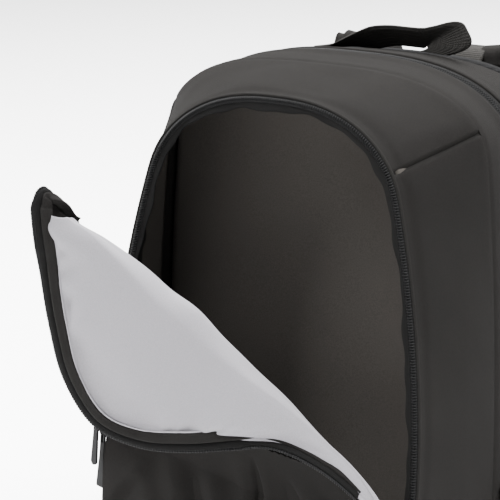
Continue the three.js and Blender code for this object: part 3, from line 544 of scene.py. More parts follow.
def hard(name, color, roughness, specular):
    """Moulded nylon or lacquered metal with fine unevenness and lighter worn patches."""
    material, tree, shader = new_material(name)
    set_values(shader, {"Specular IOR Level": specular})
    place = add_node(tree, "TexCoord", {}, {}).outputs["Object"]
    noise = add_node(tree, "TexNoise", {"Scale": 900.0, "Detail": 4.0}, {"Vector": place}).outputs["Fac"]
    worn = [channel + WEAR for channel in color]
    tree.links.new(color_ramp(tree, noise, ((0.4, color), (0.8, worn))), shader.inputs["Base Color"])
    spread = add_node(tree, "MapRange", {"To Min": roughness * 0.8, "To Max": min(roughness * 1.3, 1)},
                      {"Value": noise})
    tree.links.new(spread.outputs["Result"], shader.inputs["Roughness"])
    add_relief(tree, shader, noise, 0.15, 0.0002)
    return material


CLOTHS = (
    # name, light and dark colour, grain and thread in millimetres, roughness, sheen, relief
    ("shell_cloth", (0.0063, 0.0058, 0.0054), (0.0032, 0.003, 0.0028), 1.3, 0.7, 0.95, 0.0, 0.7),
    ("lining_cloth", (0.15, 0.145, 0.156), (0.12, 0.116, 0.125), 0.8, 0.4, 0.6, 0.1, 0.15),
    ("divider_cloth", (0.034, 0.031, 0.028), (0.022, 0.02, 0.018), 1.0, 0.5, 0.95, 0.0, 0.3),
    ("dark_cloth", (0.0035, 0.0034, 0.0033), (0.0012, 0.0012, 0.0012), 0.8, 0.5, 0.9, 0.0, 0.5),
    ("binding_cloth", (0.0068, 0.0064, 0.006), (0.003, 0.0028, 0.0026), 0.9, 0.6, 0.9, 0.0, 0.6),
    ("mesh_cloth", (0.006, 0.006, 0.0063), (0.002, 0.002, 0.002), 1.6, 2.2, 0.95, 0.0, 1.0),
    ("webbing_cloth", (0.021, 0.02, 0.0188), (0.009, 0.0087, 0.0082), 0.9, 1.6, 0.9, 0.0, 1.0),
)
(shell_cloth, lining_cloth, divider_cloth, dark_cloth, binding_cloth, mesh_cloth,
 webbing_cloth) = [cloth(*row) for row in CLOTHS]
coil_nylon = hard("coil_nylon", (0.003, 0.003, 0.0031), 0.42, specular=0.05)
black_plastic = hard("black_plastic", (0.004, 0.004, 0.0043), 0.4, specular=0.08)
black_metal = hard("black_metal", (0.004, 0.004, 0.0042), 0.5, specular=0.03)


# Front gusset panels, with turned edges at their seams
def panel_shares(count):
    """Even shares with closer ones at both ends, where the cloth turns in at a seam."""
    edge = np.array([0.0, 0.004, 0.009, 0.016])
    return np.unique(np.concatenate([edge, np.linspace(0, 1, count)[1:-1], 1 - edge]))


def edge_distance(grid):
    """Distances in millimetres from every point of a grid to its first and last row and column."""
    down = np.concatenate([np.zeros((1,) + grid.shape[1:2]),
                           np.cumsum(np.linalg.norm(np.diff(grid, axis=0), axis=2), axis=0)])
    across = np.concatenate([np.zeros(grid.shape[:1] + (1,)),
                             np.cumsum(np.linalg.norm(np.diff(grid, axis=1), axis=2), axis=1)], axis=1)
    return down, down[-1:] - down, across, across[:, -1:] - across


def turned(distance, depth, width):
    return -depth * np.exp(-(distance / width) ** 2)


slant_rim = share_at_height(STATIONS["rim"], SLANT_RIM_Z)
slant_joint = share_at_height(STATIONS["joint"], SLANT_JOINT_Z)
base_seam = BEND_SHARE / 2


def front_station(depth):
    """The section at a share of the way from the rim to the joint."""
    y = mix(STATIONS["rim"]["y"], STATIONS["joint"]["y"], depth)
    swell_y = STATIONS["swell"]["y"]
    if y <= swell_y:
        return blend_station(STATIONS["rim"], STATIONS["swell"], (y - RIM_Y) / (swell_y - RIM_Y))
    return blend_station(STATIONS["swell"], STATIONS["joint"], (y - swell_y) / (JOINT_Y - swell_y))


def seam_share(depth):
    return mix(slant_rim, slant_joint, depth)


front_panels = {
    "front_base_panel": (lambda d: -base_seam, lambda d: base_seam, 60),
    "front_side_panel_right": (lambda d: base_seam, seam_share, 90),
    "front_top_panel": (seam_share, lambda d: 1 - seam_share(d), 130),
    "front_side_panel_left": (lambda d: 1 - seam_share(d), lambda d: 1 - base_seam, 90),
}
depths = panel_shares(34)
for name, (start, end, steps) in front_panels.items():
    shares = panel_shares(steps)
    grid = np.array([
        section(front_station(depth), mix(start(depth), end(depth), shares)) for depth in depths
    ])
    front, back, first, last = edge_distance(grid)
    normals = grid_normals(grid)
    soft = ripples(grid, 110, 3) + 0.35 * ripples(grid, 38, 4)
    inside = smooth(0, 22, np.minimum.reduce([front, back, first, last]))
    high = inside * soft + turned(first, 1.9, 1.8) + turned(last, 1.9, 1.8) + turned(back, 1.2, 2.0)
    high = high - 1.2 * bump(front, 7, 4)
    rode(slab(name, grid, -CLOTH_WALL + 0.2, high, shell_cloth, normals=normals), "shell_cloth", name)

# Main gusset: two bands and the floor between the ends of the zip
main_zip_share = share_at_height(STATIONS["zip_front"], MAIN_ZIP_END_Z)


LOOP_POINTS = 240
LIP_WIDTH = 6


def loop_band(name, front_end, back_end, start, end, front_lip, back_lip):
    """A band of the main gusset between two sections, with a raised lip at an edge beside the zip."""
    rows = []
    for depth in panel_shares(14):
        station = blend_station(STATIONS[front_end], STATIONS[back_end], depth)
        rows.append(section(station, even_shares(station, start, end, LOOP_POINTS + 1)))
    grid = np.array(rows)
    front, back, _, _ = edge_distance(grid)
    full = end - start >= 0.999
    if full:
        grid = grid[:, :-1]
        front, back = front[:, :-1], back[:, :-1]
    inside = smooth(0, 16, np.minimum(front, back))
    high = inside * (0.8 * ripples(grid, 100, 8) + 0.25 * ripples(grid, 34, 9))
    high = high + turned(front, 1.2, 2.0) + turned(back, 1.2, 2.0)
    high = high + front_lip * bump(front, 0, LIP_WIDTH) + back_lip * bump(back, 0, LIP_WIDTH)
    band = slab(name, grid, -CLOTH_WALL + 0.2, high, shell_cloth, wrap=full)
    return rode(band, "shell_cloth", "main_gusset")


loop_band("gusset_front_band", "joint", "zip_front", 0, 1, 0, 2.4)
loop_band("gusset_back_band", "zip_back", "back", 0, 1, 1.8, 0)
loop_band("gusset_zip_end", "zip_front", "zip_back", -main_zip_share, main_zip_share, 0, 0)


# Plates: the divider and the padded back
def loop_pad(name, station, rings, material, slot, nodes, centre_dy, detail=None):
    """A padded plate from rings of (inset, scale, dy), closed by a point at each end."""
    count = 260
    shares = np.linspace(0, 1, count + 1)[:-1]
    middle = np.array([0, 0, (station["top"] + station["base"]) * BAG_HEIGHT / 2])
    points = np.array([
        middle * (1 - scale) + section(station, shares, inset) * [scale, 1, scale] + [0, dy, 0]
        for inset, scale, dy in rings
    ])
    if detail is not None:
        points[..., 1] += detail(points)
    faces = grid_faces(len(rings), count, wrap=True)
    flat = points.reshape(-1, 3)
    ends = np.array([middle + [0, station["y"] + dy, 0] for dy in centre_dy])
    k = np.arange(count)
    ahead = (k + 1) % count
    first = np.stack([np.full(count, len(flat)), k, ahead], axis=-1)
    last_row = (len(rings) - 1) * count
    last = np.stack([np.full(count, len(flat) + 1), last_row + ahead, last_row + k], axis=-1)
    all_faces = faces.tolist() + first.tolist() + last.tolist()
    flat = np.concatenate([flat, ends])
    return rode(add_mesh(name, flat, all_faces, material, flat[:, [0, 2]]), slot, *nodes)


DIVIDER_FRONT = 6.0
DIVIDER_THICKNESS = 6.0
DIVIDER_INSET = 4.2
divider_rings = [(DIVIDER_INSET, scale, DIVIDER_FRONT + depth) for scale, depth in (
    [(0.02, 0)] + [(scale, 0) for scale in np.linspace(0.1, 0.95, 18)]
    + [(0.985, 0.6), (1.0, 3), (0.985, 5.4)]
    + [(scale, DIVIDER_THICKNESS) for scale in np.linspace(0.95, 0.05, 8)]
)]
loop_pad("divider_panel", STATIONS["joint"], divider_rings, divider_cloth, "dark_cloth", ["divider_panel"],
         (DIVIDER_FRONT, DIVIDER_FRONT + DIVIDER_THICKNESS),
         lambda p: 1.2 * ripples(p, 120, 12) * smooth(150, 120, np.abs(p[..., 0])))

PAD_THICKNESS = 14.0
PAD_CROWN = 8.0
CROWN_EDGE = 0.97
CROWN_SHOULDER = 0.7
SHOULDER_HEIGHT = 0.75


def pad_crown(share):
    """Height of the padded back's crown at a share of the way from its middle to its border."""
    if share < CROWN_SHOULDER:
        height = mix(1, SHOULDER_HEIGHT, share / CROWN_SHOULDER)
    else:
        fall = min((share - CROWN_SHOULDER) / (CROWN_EDGE - CROWN_SHOULDER), 1)
        height = mix(SHOULDER_HEIGHT, 0, fall)
    return PAD_CROWN * height


crown_scales = np.concatenate([np.linspace(CROWN_EDGE, CROWN_SHOULDER, 24), np.linspace(0.69, 0.02, 60)])
back_rings = [(0, scale, SEAM_GAP + depth) for scale, depth in (
    [(scale, 0) for scale in np.linspace(0.05, CROWN_EDGE, 8)]
    + [(0.992, 0.5), (1.0, 3), (1.0, PAD_THICKNESS * 0.7), (0.99, PAD_THICKNESS * 0.9)]
    + [(scale, PAD_THICKNESS + pad_crown(scale)) for scale in crown_scales]
)]


def back_channels(points):
    """Vertical and slanting channels sewn into the padded back, only on its outer face."""
    outer = smooth(BACK_Y + 10, BACK_Y + 14, points[..., 1])
    x, z = points[..., 0], points[..., 2]
    middle = bump(x, 0, 9)
    ribs = sum(bump(z, level + 0.12 * np.abs(x), 5) for level in (70, 150, 230, 310))
    inside = smooth(140, 120, np.abs(x)) * smooth(30, 50, z) * smooth(410, 380, z)
    frame_line = bump(np.maximum(np.abs(x) - 128, 0) + np.maximum(40 - z, 0), 3, 3)
    return -outer * (5 * np.maximum(middle, 0.7 * ribs) * inside + 1.5 * frame_line * smooth(20, 40, z))


loop_pad("back_panel", STATIONS["back"], back_rings, mesh_cloth, "mesh_cloth", ["back_panel"],
                   (SEAM_GAP, SEAM_GAP + PAD_THICKNESS + PAD_CROWN), back_channels)

# Rim of the front opening: frames along it, with inward towards the opening
rim_share = share_at_height(STATIONS["rim"], RIM_ZIP_END_Z)


def loop_frames(station, start, end, count, along_y=False):
    shares = even_shares(station, start, end, count)
    points = section(station, shares)
    inner = section(station, shares, 1.0)
    inward = unit(inner - points)
    tangent = unit(np.gradient(points, axis=0))
    if along_y:
        normal = -unit(inward * [1, 0, 1])
        inward = np.broadcast_to([0.0, 1.0, 0.0], points.shape)
    else:
        normal = unit(np.cross(tangent, inward))
        normal = normal * np.where(normal[:, 1:2] > 0, -1, 1)
    return dict(point=points, normal=normal, inward=inward, length=path_length(points))


COIL_SIDES = 14
COIL_STEPS = 7
RIM_ZIP_LENGTH = 1150
MAIN_ZIP_LENGTH = 1080
FLAP_ZIP_LENGTH = 850


def coil_count(length):
    """Number of frames along a coil, a few for each of its turns."""
    return int(length / COIL_PITCH) * COIL_STEPS


def coil_profile(frames, width, height, start, base, chevron=0.35):
    """Coil of a zip: ridges across the tape at an even pitch, slanted towards the free side."""
    angle = np.linspace(0, 2 * math.pi, COIL_SIDES, endpoint=False)
    across = 0.5 - 0.5 * np.cos(angle)
    rise = np.sin(angle)
    phase = frames["length"][:, None] / COIL_PITCH + chevron * across[None, :]
    ridge = 0.5 + 0.5 * np.cos(2 * math.pi * phase)
    outer = np.clip(rise, 0, 1)[None, :]
    lift = height * (np.maximum(rise, -0.35)[None, :] * (0.3 + 0.7 * ridge))
    reach = across[None, :] * width + 0.35 * (ridge - 0.5) * (np.cos(angle) * -1)[None, :]
    return np.stack([start + reach, base + lift * (outer + (rise <= 0)[None, :])], axis=-1)


rim_frames = loop_frames(shifted(STATIONS["rim"], -SEAM_GAP), rim_share, 1 - rim_share,
                         coil_count(RIM_ZIP_LENGTH))
rode(sweep("front_zip_coil", rim_frames, lambda: coil_profile(rim_frames, 5.0, 2.6, 1.0, 1.2), coil_nylon),
     "zip_nylon", "front_zip")
tape_frames = loop_frames(shifted(STATIONS["rim"], -SEAM_GAP), rim_share, 1 - rim_share, 600)


def rim_tape():
    """Tape beside the coil. Its inner edge waves, as sewn tape on a bend does."""
    length = tape_frames["length"]
    wave = 0.7 * np.sin(length / 9.5) + 0.9 * np.sin(length / 23 + 1) + 0.6 * np.sin(length / 5.1 + 2)
    lift = 0.5 * np.sin(length / 13 + 0.5)
    shape = np.array([(0.6, 0.2), (0.3, 0.8), (0.8, 1.3), (3.5, 1.3), (6.5, 1.3), (9.0, 1.1), (10.6, 0.9),
                      (11.0, 0.4), (10.4, 0.0), (6.0, 0.0), (2.5, 0.0)])
    shapes = np.broadcast_to(shape, (len(length),) + shape.shape).copy()
    inner = smooth(5, 11, shape[:, 0])[None, :]
    shapes[..., 0] += inner * wave[:, None]
    shapes[..., 1] += inner * lift[:, None]
    return shapes


rode(sweep("front_zip_tape", tape_frames, rim_tape, dark_cloth), "zip_nylon", "front_zip")

# Rolled edge of the gusset beside the coil
piping_angle = np.linspace(0, 2 * math.pi, 10, endpoint=False)
piping = np.stack([-0.2 + 1.3 * np.cos(piping_angle), 0.4 + 1.3 * np.sin(piping_angle)], axis=-1)
rode(sweep("front_rim_edge", tape_frames, piping, binding_cloth), "dark_cloth")

# Facing inside the rim: a gathered strip
FACING_DEPTH = 17.0
FACING_POINTS = 700
facing_shares = even_shares(STATIONS["rim"], rim_share, 1 - rim_share, FACING_POINTS)
facing_length = np.linspace(0, 1100, FACING_POINTS)
facing_rows = []
gather = (0.9 * np.sin(facing_length / 6.1) + 0.8 * np.sin(facing_length / 3.7 + 1.3)
          + 1.1 * np.sin(facing_length / 14.5 + 0.4)) * (0.7 + 0.3 * np.sin(facing_length / 47))
for depth in np.linspace(0.6, FACING_DEPTH, 12):
    station = blend_station(STATIONS["rim"], STATIONS["swell"], depth / (STATIONS["swell"]["y"] - RIM_Y))
    share = depth / FACING_DEPTH
    row = section(station, facing_shares, 5.4)
    inner = section(station, facing_shares, 6.4) - row
    row = row + inner * (gather * (0.25 + 0.9 * share) + 3.5 * math.sin(math.pi * share) ** 0.7)[:, None]
    row[:, 1] += 1.4 * gather * share
    facing_rows.append(row)
rode(slab("front_facing", np.array(facing_rows), -0.4, 0.4, dark_cloth), "dark_cloth", "front_facing")

# Dark lining inside the front compartment
lining_grid = np.array([
    section(front_station(depth), np.linspace(0, 1, 200, endpoint=False), CLOTH_WALL + 0.9)
    for depth in np.linspace(0.06, 0.93, 14)
])
lining_lift = 0.15 * ripples(lining_grid, 70, 21)
inner_lining = slab("front_compartment_lining", lining_grid, -0.35 + lining_lift, 0.1 + lining_lift,
                    divider_cloth, wrap=True)
rode(inner_lining, "dark_cloth")

# Main zip: two tapes and a closed coil
main_station = {**STATIONS["zip_front"], "y": (ZIP_FRONT_Y + ZIP_BACK_Y) / 2}
main_frames = loop_frames(main_station, main_zip_share, 1 - main_zip_share, coil_count(MAIN_ZIP_LENGTH), True)
for name, start, chevron in (("main_zip_coil_front", -2.7, 0.35), ("main_zip_coil_back", -0.1, 0.85)):
    rode(sweep(name, main_frames, lambda: coil_profile(main_frames, 2.8, 1.7, start, -0.9, chevron=chevron),
               coil_nylon), "zip_nylon", "main_zip")
main_tape_frames = loop_frames(main_station, main_zip_share, 1 - main_zip_share, 400, True)
main_tape = np.array([
    (-9.2, -2.2), (-9.2, -1.2), (-5, -0.8), (0, -0.7), (5, -0.8), (9.2, -1.2), (9.2, -2.2), (0, -2.0),
])
rode(sweep("main_zip_tape", main_tape_frames, main_tape, dark_cloth), "zip_nylon", "main_zip")

# Folded front panel: outer cloth, padded lining, binding and zip half.
# The lower panel's cloth runs up behind it, so the outer cloth is sunk there
LOWER_RISE = 55.0
outer_grid = flap_grid(110, 34, edge_setback=2.0)
outer_relief = 0.5 * ripples(outer_grid, 60, 31)
from_fold = np.concatenate([np.zeros((outer_grid.shape[0], 1)), np.cumsum(
    np.linalg.norm(np.diff(outer_grid, axis=1), axis=2), axis=1)], axis=1)
sunk = 4.5 * smooth(LOWER_RISE + 5, LOWER_RISE - 25, from_fold) * (
    smooth(CORNER_ROW - 0.02, CORNER_ROW + 0.04, np.linspace(0, 1, outer_grid.shape[0])))[:, None]
outer = slab("front_panel_folded", outer_grid, 0.3 - sunk, 1.6 + outer_relief * 0.4 - sunk, shell_cloth)
rode(outer, "shell_cloth", "front_panel")

LINING_ROWS = 220
LINING_HALF = 76
LINING_END = 0.985
LINING_TUCK = 7.0
lining_surface = flap_grid(LINING_ROWS, LINING_HALF, last_row=LINING_END, setback=14.0,
                           edge_setback=LINING_TUCK)
# The lining stops short of the tip, further down on the crest than beside the binding
lining_across = np.linspace(0, 1, 2 * LINING_HALF + 1)
lining_starts = mix(0.065, 0.03, smooth(0.5, 0.9, lining_across)) / LINING_END
lining_rows = mix(lining_starts[None, :], 1, np.linspace(0, 1, LINING_ROWS)[:, None]) * (LINING_ROWS - 1)
above = np.minimum(lining_rows.astype(int), LINING_ROWS - 2)
column_index = np.arange(2 * LINING_HALF + 1)[None, :]
lining_surface = mix(lining_surface[above, column_index], lining_surface[above + 1, column_index],
                     (lining_rows - above)[..., None])
along_grid = lining_rows / (LINING_ROWS - 1) * LINING_END
from_rim = np.flip(np.cumsum(np.linalg.norm(np.diff(np.flip(lining_surface, 1), axis=1), axis=2), axis=1), 1)
from_rim = np.concatenate([from_rim, np.zeros((LINING_ROWS, 1))], axis=1)
from_binding = from_rim + LINING_TUCK - BINDING_WIDTH - 1.5
GATHERS = (
    # place along the rim, depth of the crease, width along the rim, reach into the lining
    (0.13, 1.4, 0.015, 14), (0.19, 2.4, 0.015, 20), (0.245, 5.5, 0.018, 20), (0.275, 2.2, 0.0105, 12),
    (0.31, 4.6, 0.018, 18), (0.345, 7.0, 0.024, 26), (0.38, 4.6, 0.015, 14), (0.41, 6.0, 0.027, 24),
    (0.45, 7.0, 0.027, 30), (0.488, 5.0, 0.012, 15), (0.508, 6.4, 0.0165, 28), (0.535, 3.8, 0.0105, 14),
    (0.56, 5.2, 0.015, 22), (0.598, 6.4, 0.0165, 28), (0.625, 2.6, 0.0105, 12), (0.66, 3.2, 0.0165, 14),
    (0.70, 1.8, 0.012, 10), (0.745, 2.0, 0.0135, 12), (0.80, 1.4, 0.0135, 10), (0.86, 1.4, 0.0135, 10),
)
deep = np.maximum(from_binding, 0)
crease = np.zeros_like(from_rim)
for centre, depth, width, reach in GATHERS:
    lean = centre + 0.004 * np.sin(centre * 90) * from_binding / 20
    crease = crease - depth * bump(along_grid, lean, width * (1 + deep / 30)) * np.exp(-(deep / reach) ** 1.5)
puff = 7.4 * (1 - np.exp(-np.maximum(deep - 1.5, 0) / 9)) * (0.35 + 0.65 * np.exp(-deep / 60))
corner_shade = 3.4 * bump(along_grid, 0.43, 0.08) * deep / 12 * np.exp(1 - deep / 12)
wide = 1.5 * ripples(lining_surface, 130, 41) * smooth(4, 50, deep)
tiny = 0.2 * ripples(lining_surface, 26, 42) * smooth(2, 25, deep)
behind_half = np.arange(2 * LINING_HALF + 1)[None, :] / (2 * LINING_HALF)
front_only = smooth(0.5, 0.56, behind_half)
lip = mix(0.7, 3.0, smooth(-1.5, 1.5, from_binding))
lift = mix(2.4, lip, front_only) + front_only * (puff + crease * smooth(1, 7, from_binding) - corner_shade)
# The lift falls off softly towards its least value, so a deep crease has no sharp edge
LEAST_LIFT = 0.7
SOFTNESS = 0.9
lift = LEAST_LIFT + SOFTNESS * np.logaddexp(0, (lift + wide + tiny - LEAST_LIFT) / SOFTNESS)
lining = slab("flap_lining_cloth", lining_surface, -lift, -0.1, lining_cloth)
rode(lining, "lining_cloth", "flap_lining")

edge_points, edge_inners = free_edge()
EDGE_COUNT = 900
EDGE_PASSES = 60
EDGE_CORNER = 40
binding_frames = edge_frames(edge_points, edge_inners, EDGE_COUNT, EDGE_PASSES, EDGE_CORNER, 14.5)


def binding_profile():
    """Bound edge: a bulging tape that covers the lining's edge, with slight waves from its stitches."""
    length = binding_frames["length"]
    shape = np.array([
        (5.4, -1.2), (5.5, -3.0), (6.1, -3.9), (7.4, -4.2), (9.2, -4.1), (11.0, -4.1),
        (12.8, -4.4), (13.8, -4.0), (13.9, -3.0), (12.5, -1.5), (12.5, 1.2), (11.8, 2.2),
        (8.0, 2.6), (4.0, 2.4), (1.6, 1.8), (1.0, 0.6),
    ])
    shapes = np.broadcast_to(shape, (len(length),) + shape.shape).copy()
    wave = 0.35 * np.sin(length / 7.3) + 0.35 * np.sin(length / 17 + 1) + 0.2 * np.sin(length / 3.9 + 2)
    shapes[..., 1] -= (wave[:, None] * smooth(2, 12, shape[:, 0])[None, :]) * np.where(shape[:, 1] < 0, 1, 0)
    shapes[..., 0] += (0.5 * np.sin(length / 11))[:, None] * smooth(9, 13, shape[:, 0])[None, :]
    shapes[..., 0] *= binding_frames["fit"][:, None]
    return shapes


rode(sweep("flap_binding_tape", binding_frames, binding_profile, binding_cloth), "dark_cloth", "flap_binding")
flap_coil_count = coil_count(FLAP_ZIP_LENGTH)
coil_ratio = (flap_coil_count / EDGE_COUNT) ** 2
flap_zip_frames = edge_frames(edge_points, edge_inners, flap_coil_count, int(EDGE_PASSES * coil_ratio),
                              int(EDGE_CORNER * coil_ratio), 4.0)
rode(sweep("flap_zip_coil", flap_zip_frames,
           lambda: coil_profile(flap_zip_frames, 4.0, 2.0, -1.6, -0.4), coil_nylon), "zip_nylon", "flap_zip")
flap_tape = np.array([(0.2, -1.2), (0.9, -2.2), (2.6, -2.4), (6.6, -2.4), (6.6, 0.2), (0.9, 0.4)])
rode(sweep("flap_zip_tape", binding_frames, flap_tape, dark_cloth), "dark_cloth", "flap_zip")

# Light folded hem of the lining against the binding
hem_angle = np.linspace(0, 2 * math.pi, 8, endpoint=False)
hem = np.stack([14.2 + 0.55 * np.cos(hem_angle), -4.0 + 0.55 * np.sin(hem_angle)], axis=-1)
hem_frames = frames_between(binding_frames, flap_at(0.1, 1), flap_at(0.95, 1))
rode(sweep("lining_hem", hem_frames, hem, lining_cloth), "lining_cloth")

# Lower front panel, still zipped in
left_share = 1 - share_at_height(STATIONS["rim"], FOLD_LEFT_Z)
right_share = share_at_height(STATIONS["rim"], FOLD_RIGHT_Z)
lower_columns = np.linspace(0, 1, 200)
lower_shares = mix(left_share - 1, right_share, lower_columns)
lower_bare = section(STATIONS["rim"], lower_shares)
lower_insets = mix(CLOTH_WALL + 2 * SEAM_GAP, RIM_TAPE_WIDTH + 0.8,
                   smooth(RIM_ZIP_END_Z - 34, RIM_ZIP_END_Z - 18, lower_bare[:, 2]))
left_side = (lower_bare[:, 0] < 0) * smooth(FOLD_LEFT_Z, FOLD_LEFT_Z - 12, lower_bare[:, 2])
lower_insets = mix(lower_insets, CLOTH_WALL + 2 * SEAM_GAP, left_side)
lower_edge = np.array([
    section(shifted(STATIONS["rim"], -1), share, inset) for share, inset in zip(lower_shares, lower_insets)
])
lower_edge[:, 1] -= 9 * left_side * smooth(60, 85, lower_bare[:, 2])
lower_strips = []
for column, edge_point in zip(lower_columns, lower_edge):
    leaf = curve_points(flap_row(mix(CORNER_ROW, 1, column)), np.linspace(0, 0.5, 81))
    leaf_length = path_length(leaf)
    leaf = leaf[leaf_length <= min(LOWER_RISE, 0.6 * leaf_length[-1])]
    strip = np.concatenate([np.linspace(edge_point, leaf[0], 60)[:-1], leaf])
    lower_strips.append(smoothed(resampled(strip, np.linspace(0, 1, 150)), 90))
lower_grid = np.swapaxes(np.array(lower_strips)[:, ::-1], 0, 1)
panel_share = np.clip((lower_grid[..., 2] - lower_edge[None, :, 2]) / np.maximum(
    mix(fold_left, fold_right, lower_columns[:, None])[None, :, 2] - lower_edge[None, :, 2], 4), 0, 1)
lower_grid[..., 1] -= 9 * np.sin(math.pi * panel_share) * np.sin(math.pi * lower_columns)[None, :] ** 0.6
FOLDS = (
    # start x and z, end x and z, height of the fold, half width
    (6, 150, 12, 40, -5.0, 3), (16, 150, 22, 40, 2.6, 7), (-8, 150, 2, 46, 3.0, 8),
    (34, 142, 66, 50, -3.6, 7), (50, 142, 88, 56, 4.2, 10), (74, 132, 110, 62, -4.0, 8),
    (-84, 140, -44, 50, 3.6, 12), (-62, 134, -20, 52, -3.2, 8), (-44, 134, -6, 56, 3.4, 10),
    (-112, 136, -84, 70, 2.6, 12),
)
lower_lift = 0.5 * ripples(lower_grid, 60, 51)
for x0, z0, x1, z1, height, width in FOLDS:
    start = np.array([x0, z0])
    way = np.array([x1, z1]) - start
    offset = lower_grid[..., [0, 2]] - start
    share = offset @ way / (way @ way)
    distance = np.linalg.norm(offset - np.clip(share, 0, 1)[..., None] * way, axis=-1)
    lower_lift += height * bump(distance, 0, width) * smooth(-0.1, 0.25, share) * smooth(1.15, 0.7, share)
_, up, first, last = edge_distance(lower_grid)
lower_lift *= smooth(0, 18, np.minimum.reduce([up, first, last]))
lower_normals = grid_normals(lower_grid)
lower_normals = lower_normals * np.where(lower_normals[..., 1:2] > 0, -1, 1)
lower = slab("front_panel_lower", lower_grid, 0.2, 1.8 + lower_lift, shell_cloth, normals=lower_normals)
rode(lower, "shell_cloth", "front_panel")

# Hard pieces keep their solids and get rounded edges
EDGE_ROUNDING = 0.5
for name in ("front_slider_upper", "front_slider_lower", "front_pull_upper", "front_pull_lower",
             "main_slider", "main_pull", "strap_adjuster_left", "strap_adjuster_right"):
    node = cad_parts[name]
    node.data.materials.clear()
    node.data.materials.append(black_plastic if "adjuster" in name else black_metal)
    rounding = node.modifiers.new("rounding", "BEVEL")
    rounding.width = EDGE_ROUNDING * MM
    rounding.segments = 3
    rounding.limit_method = "ANGLE"
    rounding.harden_normals = False

# Haul loop
LOOP_SPAN = 45.0
LOOP_RISE = 11.0
LOOP_WIDTH = 25.0
LOOP_Y = BACK_Y - LOOP_WIDTH / 2 - 2
loop_station = blend_station(STATIONS["zip_back"], STATIONS["back"],
                             (LOOP_Y - ZIP_BACK_Y) / (BACK_Y - ZIP_BACK_Y))


def top_height(x):
    share = share_where(lambda share: section(loop_station, share)[0] > x, 0.25, 0.5, 30)
    return section(loop_station, share)[2]


LOOP_ROUTE = (
    # share of the span, share of the rise
    (-1.6, 0), (-1.3, 0.02), (-1, 0.2), (-0.7, 0.5), (-0.35, 0.85), (0, 1), (0.3, 1), (0.5, 1.02),
    (0.88, 1.25), (0.87, 0.6), (0.78, 0.1),
)
loop_controls = [
    (span * LOOP_SPAN, LOOP_Y, top_height(abs(span * LOOP_SPAN)) + 0.6 + rise * LOOP_RISE)
    for span, rise in LOOP_ROUTE
]


def band_grid(controls, rows, width_at, axis_at, columns):
    dense = curve_points(controls, np.linspace(0, 1, 600))
    shares = np.linspace(0, 1, rows)
    centre = resampled(dense, shares)
    across = np.linspace(-0.5, 0.5, columns)
    axes = np.array([axis_at(share) for share in shares])
    widths = np.array([width_at(share) for share in shares])
    return centre[:, None] + axes[:, None] * across[None, :, None] * widths[:, None, None]


LOOP_AXES = np.array([
    # share of the length, direction of the width, reach to the lower and to the upper edge
    (0, 0, -1, 0.12, 12.5, 12.5), (0.14, 0, -1, 0.12, 12.5, 12.5), (0.3, 0, -0.85, 0.5, 14.5, 12.5),
    (0.42, 0, -0.68, 0.73, 14.5, 12.5), (0.55, 0, -0.68, 0.73, 12.5, 12.5),
    (0.73, 0, -0.68, 0.73, 12.5, 12.5), (0.8, 0.3, -0.55, 0.7, 12.5, 11), (0.85, 0.6, -0.4, 0.6, 12, 16),
    (0.88, 0.82, -0.25, 0.48, 12, 32), (0.915, 0.88, -0.2, 0.38, 12, 32),
    (0.95, 0.95, -0.15, 0.15, 12, 38), (0.975, 0.98, -0.1, 0.02, 12.5, 24),
    (1, 1, -0.05, -0.06, 12.5, 12.5),
])
LOOP_ROWS = 200
LOOP_COLUMNS = 30
loop_shares = np.linspace(0, 1, LOOP_ROWS)
loop_table = smoothed(np.stack([
    np.interp(loop_shares, LOOP_AXES[:, 0], LOOP_AXES[:, k]) for k in range(1, 6)
], axis=-1), 12)
loop_axes = unit(loop_table[:, :3])
loop_centre = resampled(curve_points(loop_controls, np.linspace(0, 1, 600)), loop_shares)
loop_across = np.linspace(0, 1, LOOP_COLUMNS)
loop_reach = mix(-loop_table[:, 3:4], loop_table[:, 4:5], loop_across[None, :])
loop_grid = loop_centre[:, None] + loop_axes[:, None] * loop_reach[..., None]
rib = 0.2 * np.cos(loop_across * 2 * math.pi * 7)[None, :]
edge_round = 0.8 * (np.abs(2 * loop_across - 1) > 0.93)[None, :]
rode(slab("haul_loop_webbing", loop_grid, -2.5 - rib + edge_round, -0.1 + rib - edge_round, webbing_cloth),
     "webbing", "haul_loop")

# Shoulder straps with bound edges, webbing and stitches
STRAP_TOP_HALF = 34.0
STRAP_END_HALF = 24.0
STRAP_THICKNESS = 13.0
STRAP_ANCHOR = (48.0, 426.0)
STRAP_END = (104.0, 168.0)
STRAP_STAND = 20.0
back_middle_z = (STATIONS["back"]["top"] + STATIONS["back"]["base"]) * BAG_HEIGHT / 2
STRAP_ROWS = (
    # share of the way across, share of the way down, share of the stand from the back
    (0, 0, 0), (0.04, -0.045, 0.45), (0.1, 0.04, 0.9), (0.22, 0.28, 1), (0.48, 0.52, 0.85),
    (0.78, 0.77, 0.4), (1, 1, 0),
)
STRAP_LENGTH_POINTS = 120
STRAP_WIDTH_POINTS = 40
STRAP_WEBBING_POINTS = 110
WEBBING_WIDTH = 25.0
WEBBING_END = (128.0, 40.0)
WEBBING_RIBS = 7
BUCKLE_LENGTH = 32.0
POCKET_TOP_Z = 128
POCKET_BASE_Z = 14
POCKET_FRONT_Y = -18
POCKET_BACK_Y = 88
POCKET_BULGE = 16
POCKET_ROWS = 44
POCKET_COLUMNS = 90
POCKET_GATHERS = 13
sideways = np.array([1.0, 0, 0])


def back_face_y(x, z):
    share = max(abs(x) / (STATIONS["back"]["half"] * BAG_HALF_WIDTH), abs(z - back_middle_z) / back_middle_z)
    return BACK_Y + SEAM_GAP + PAD_THICKNESS + pad_crown(share)


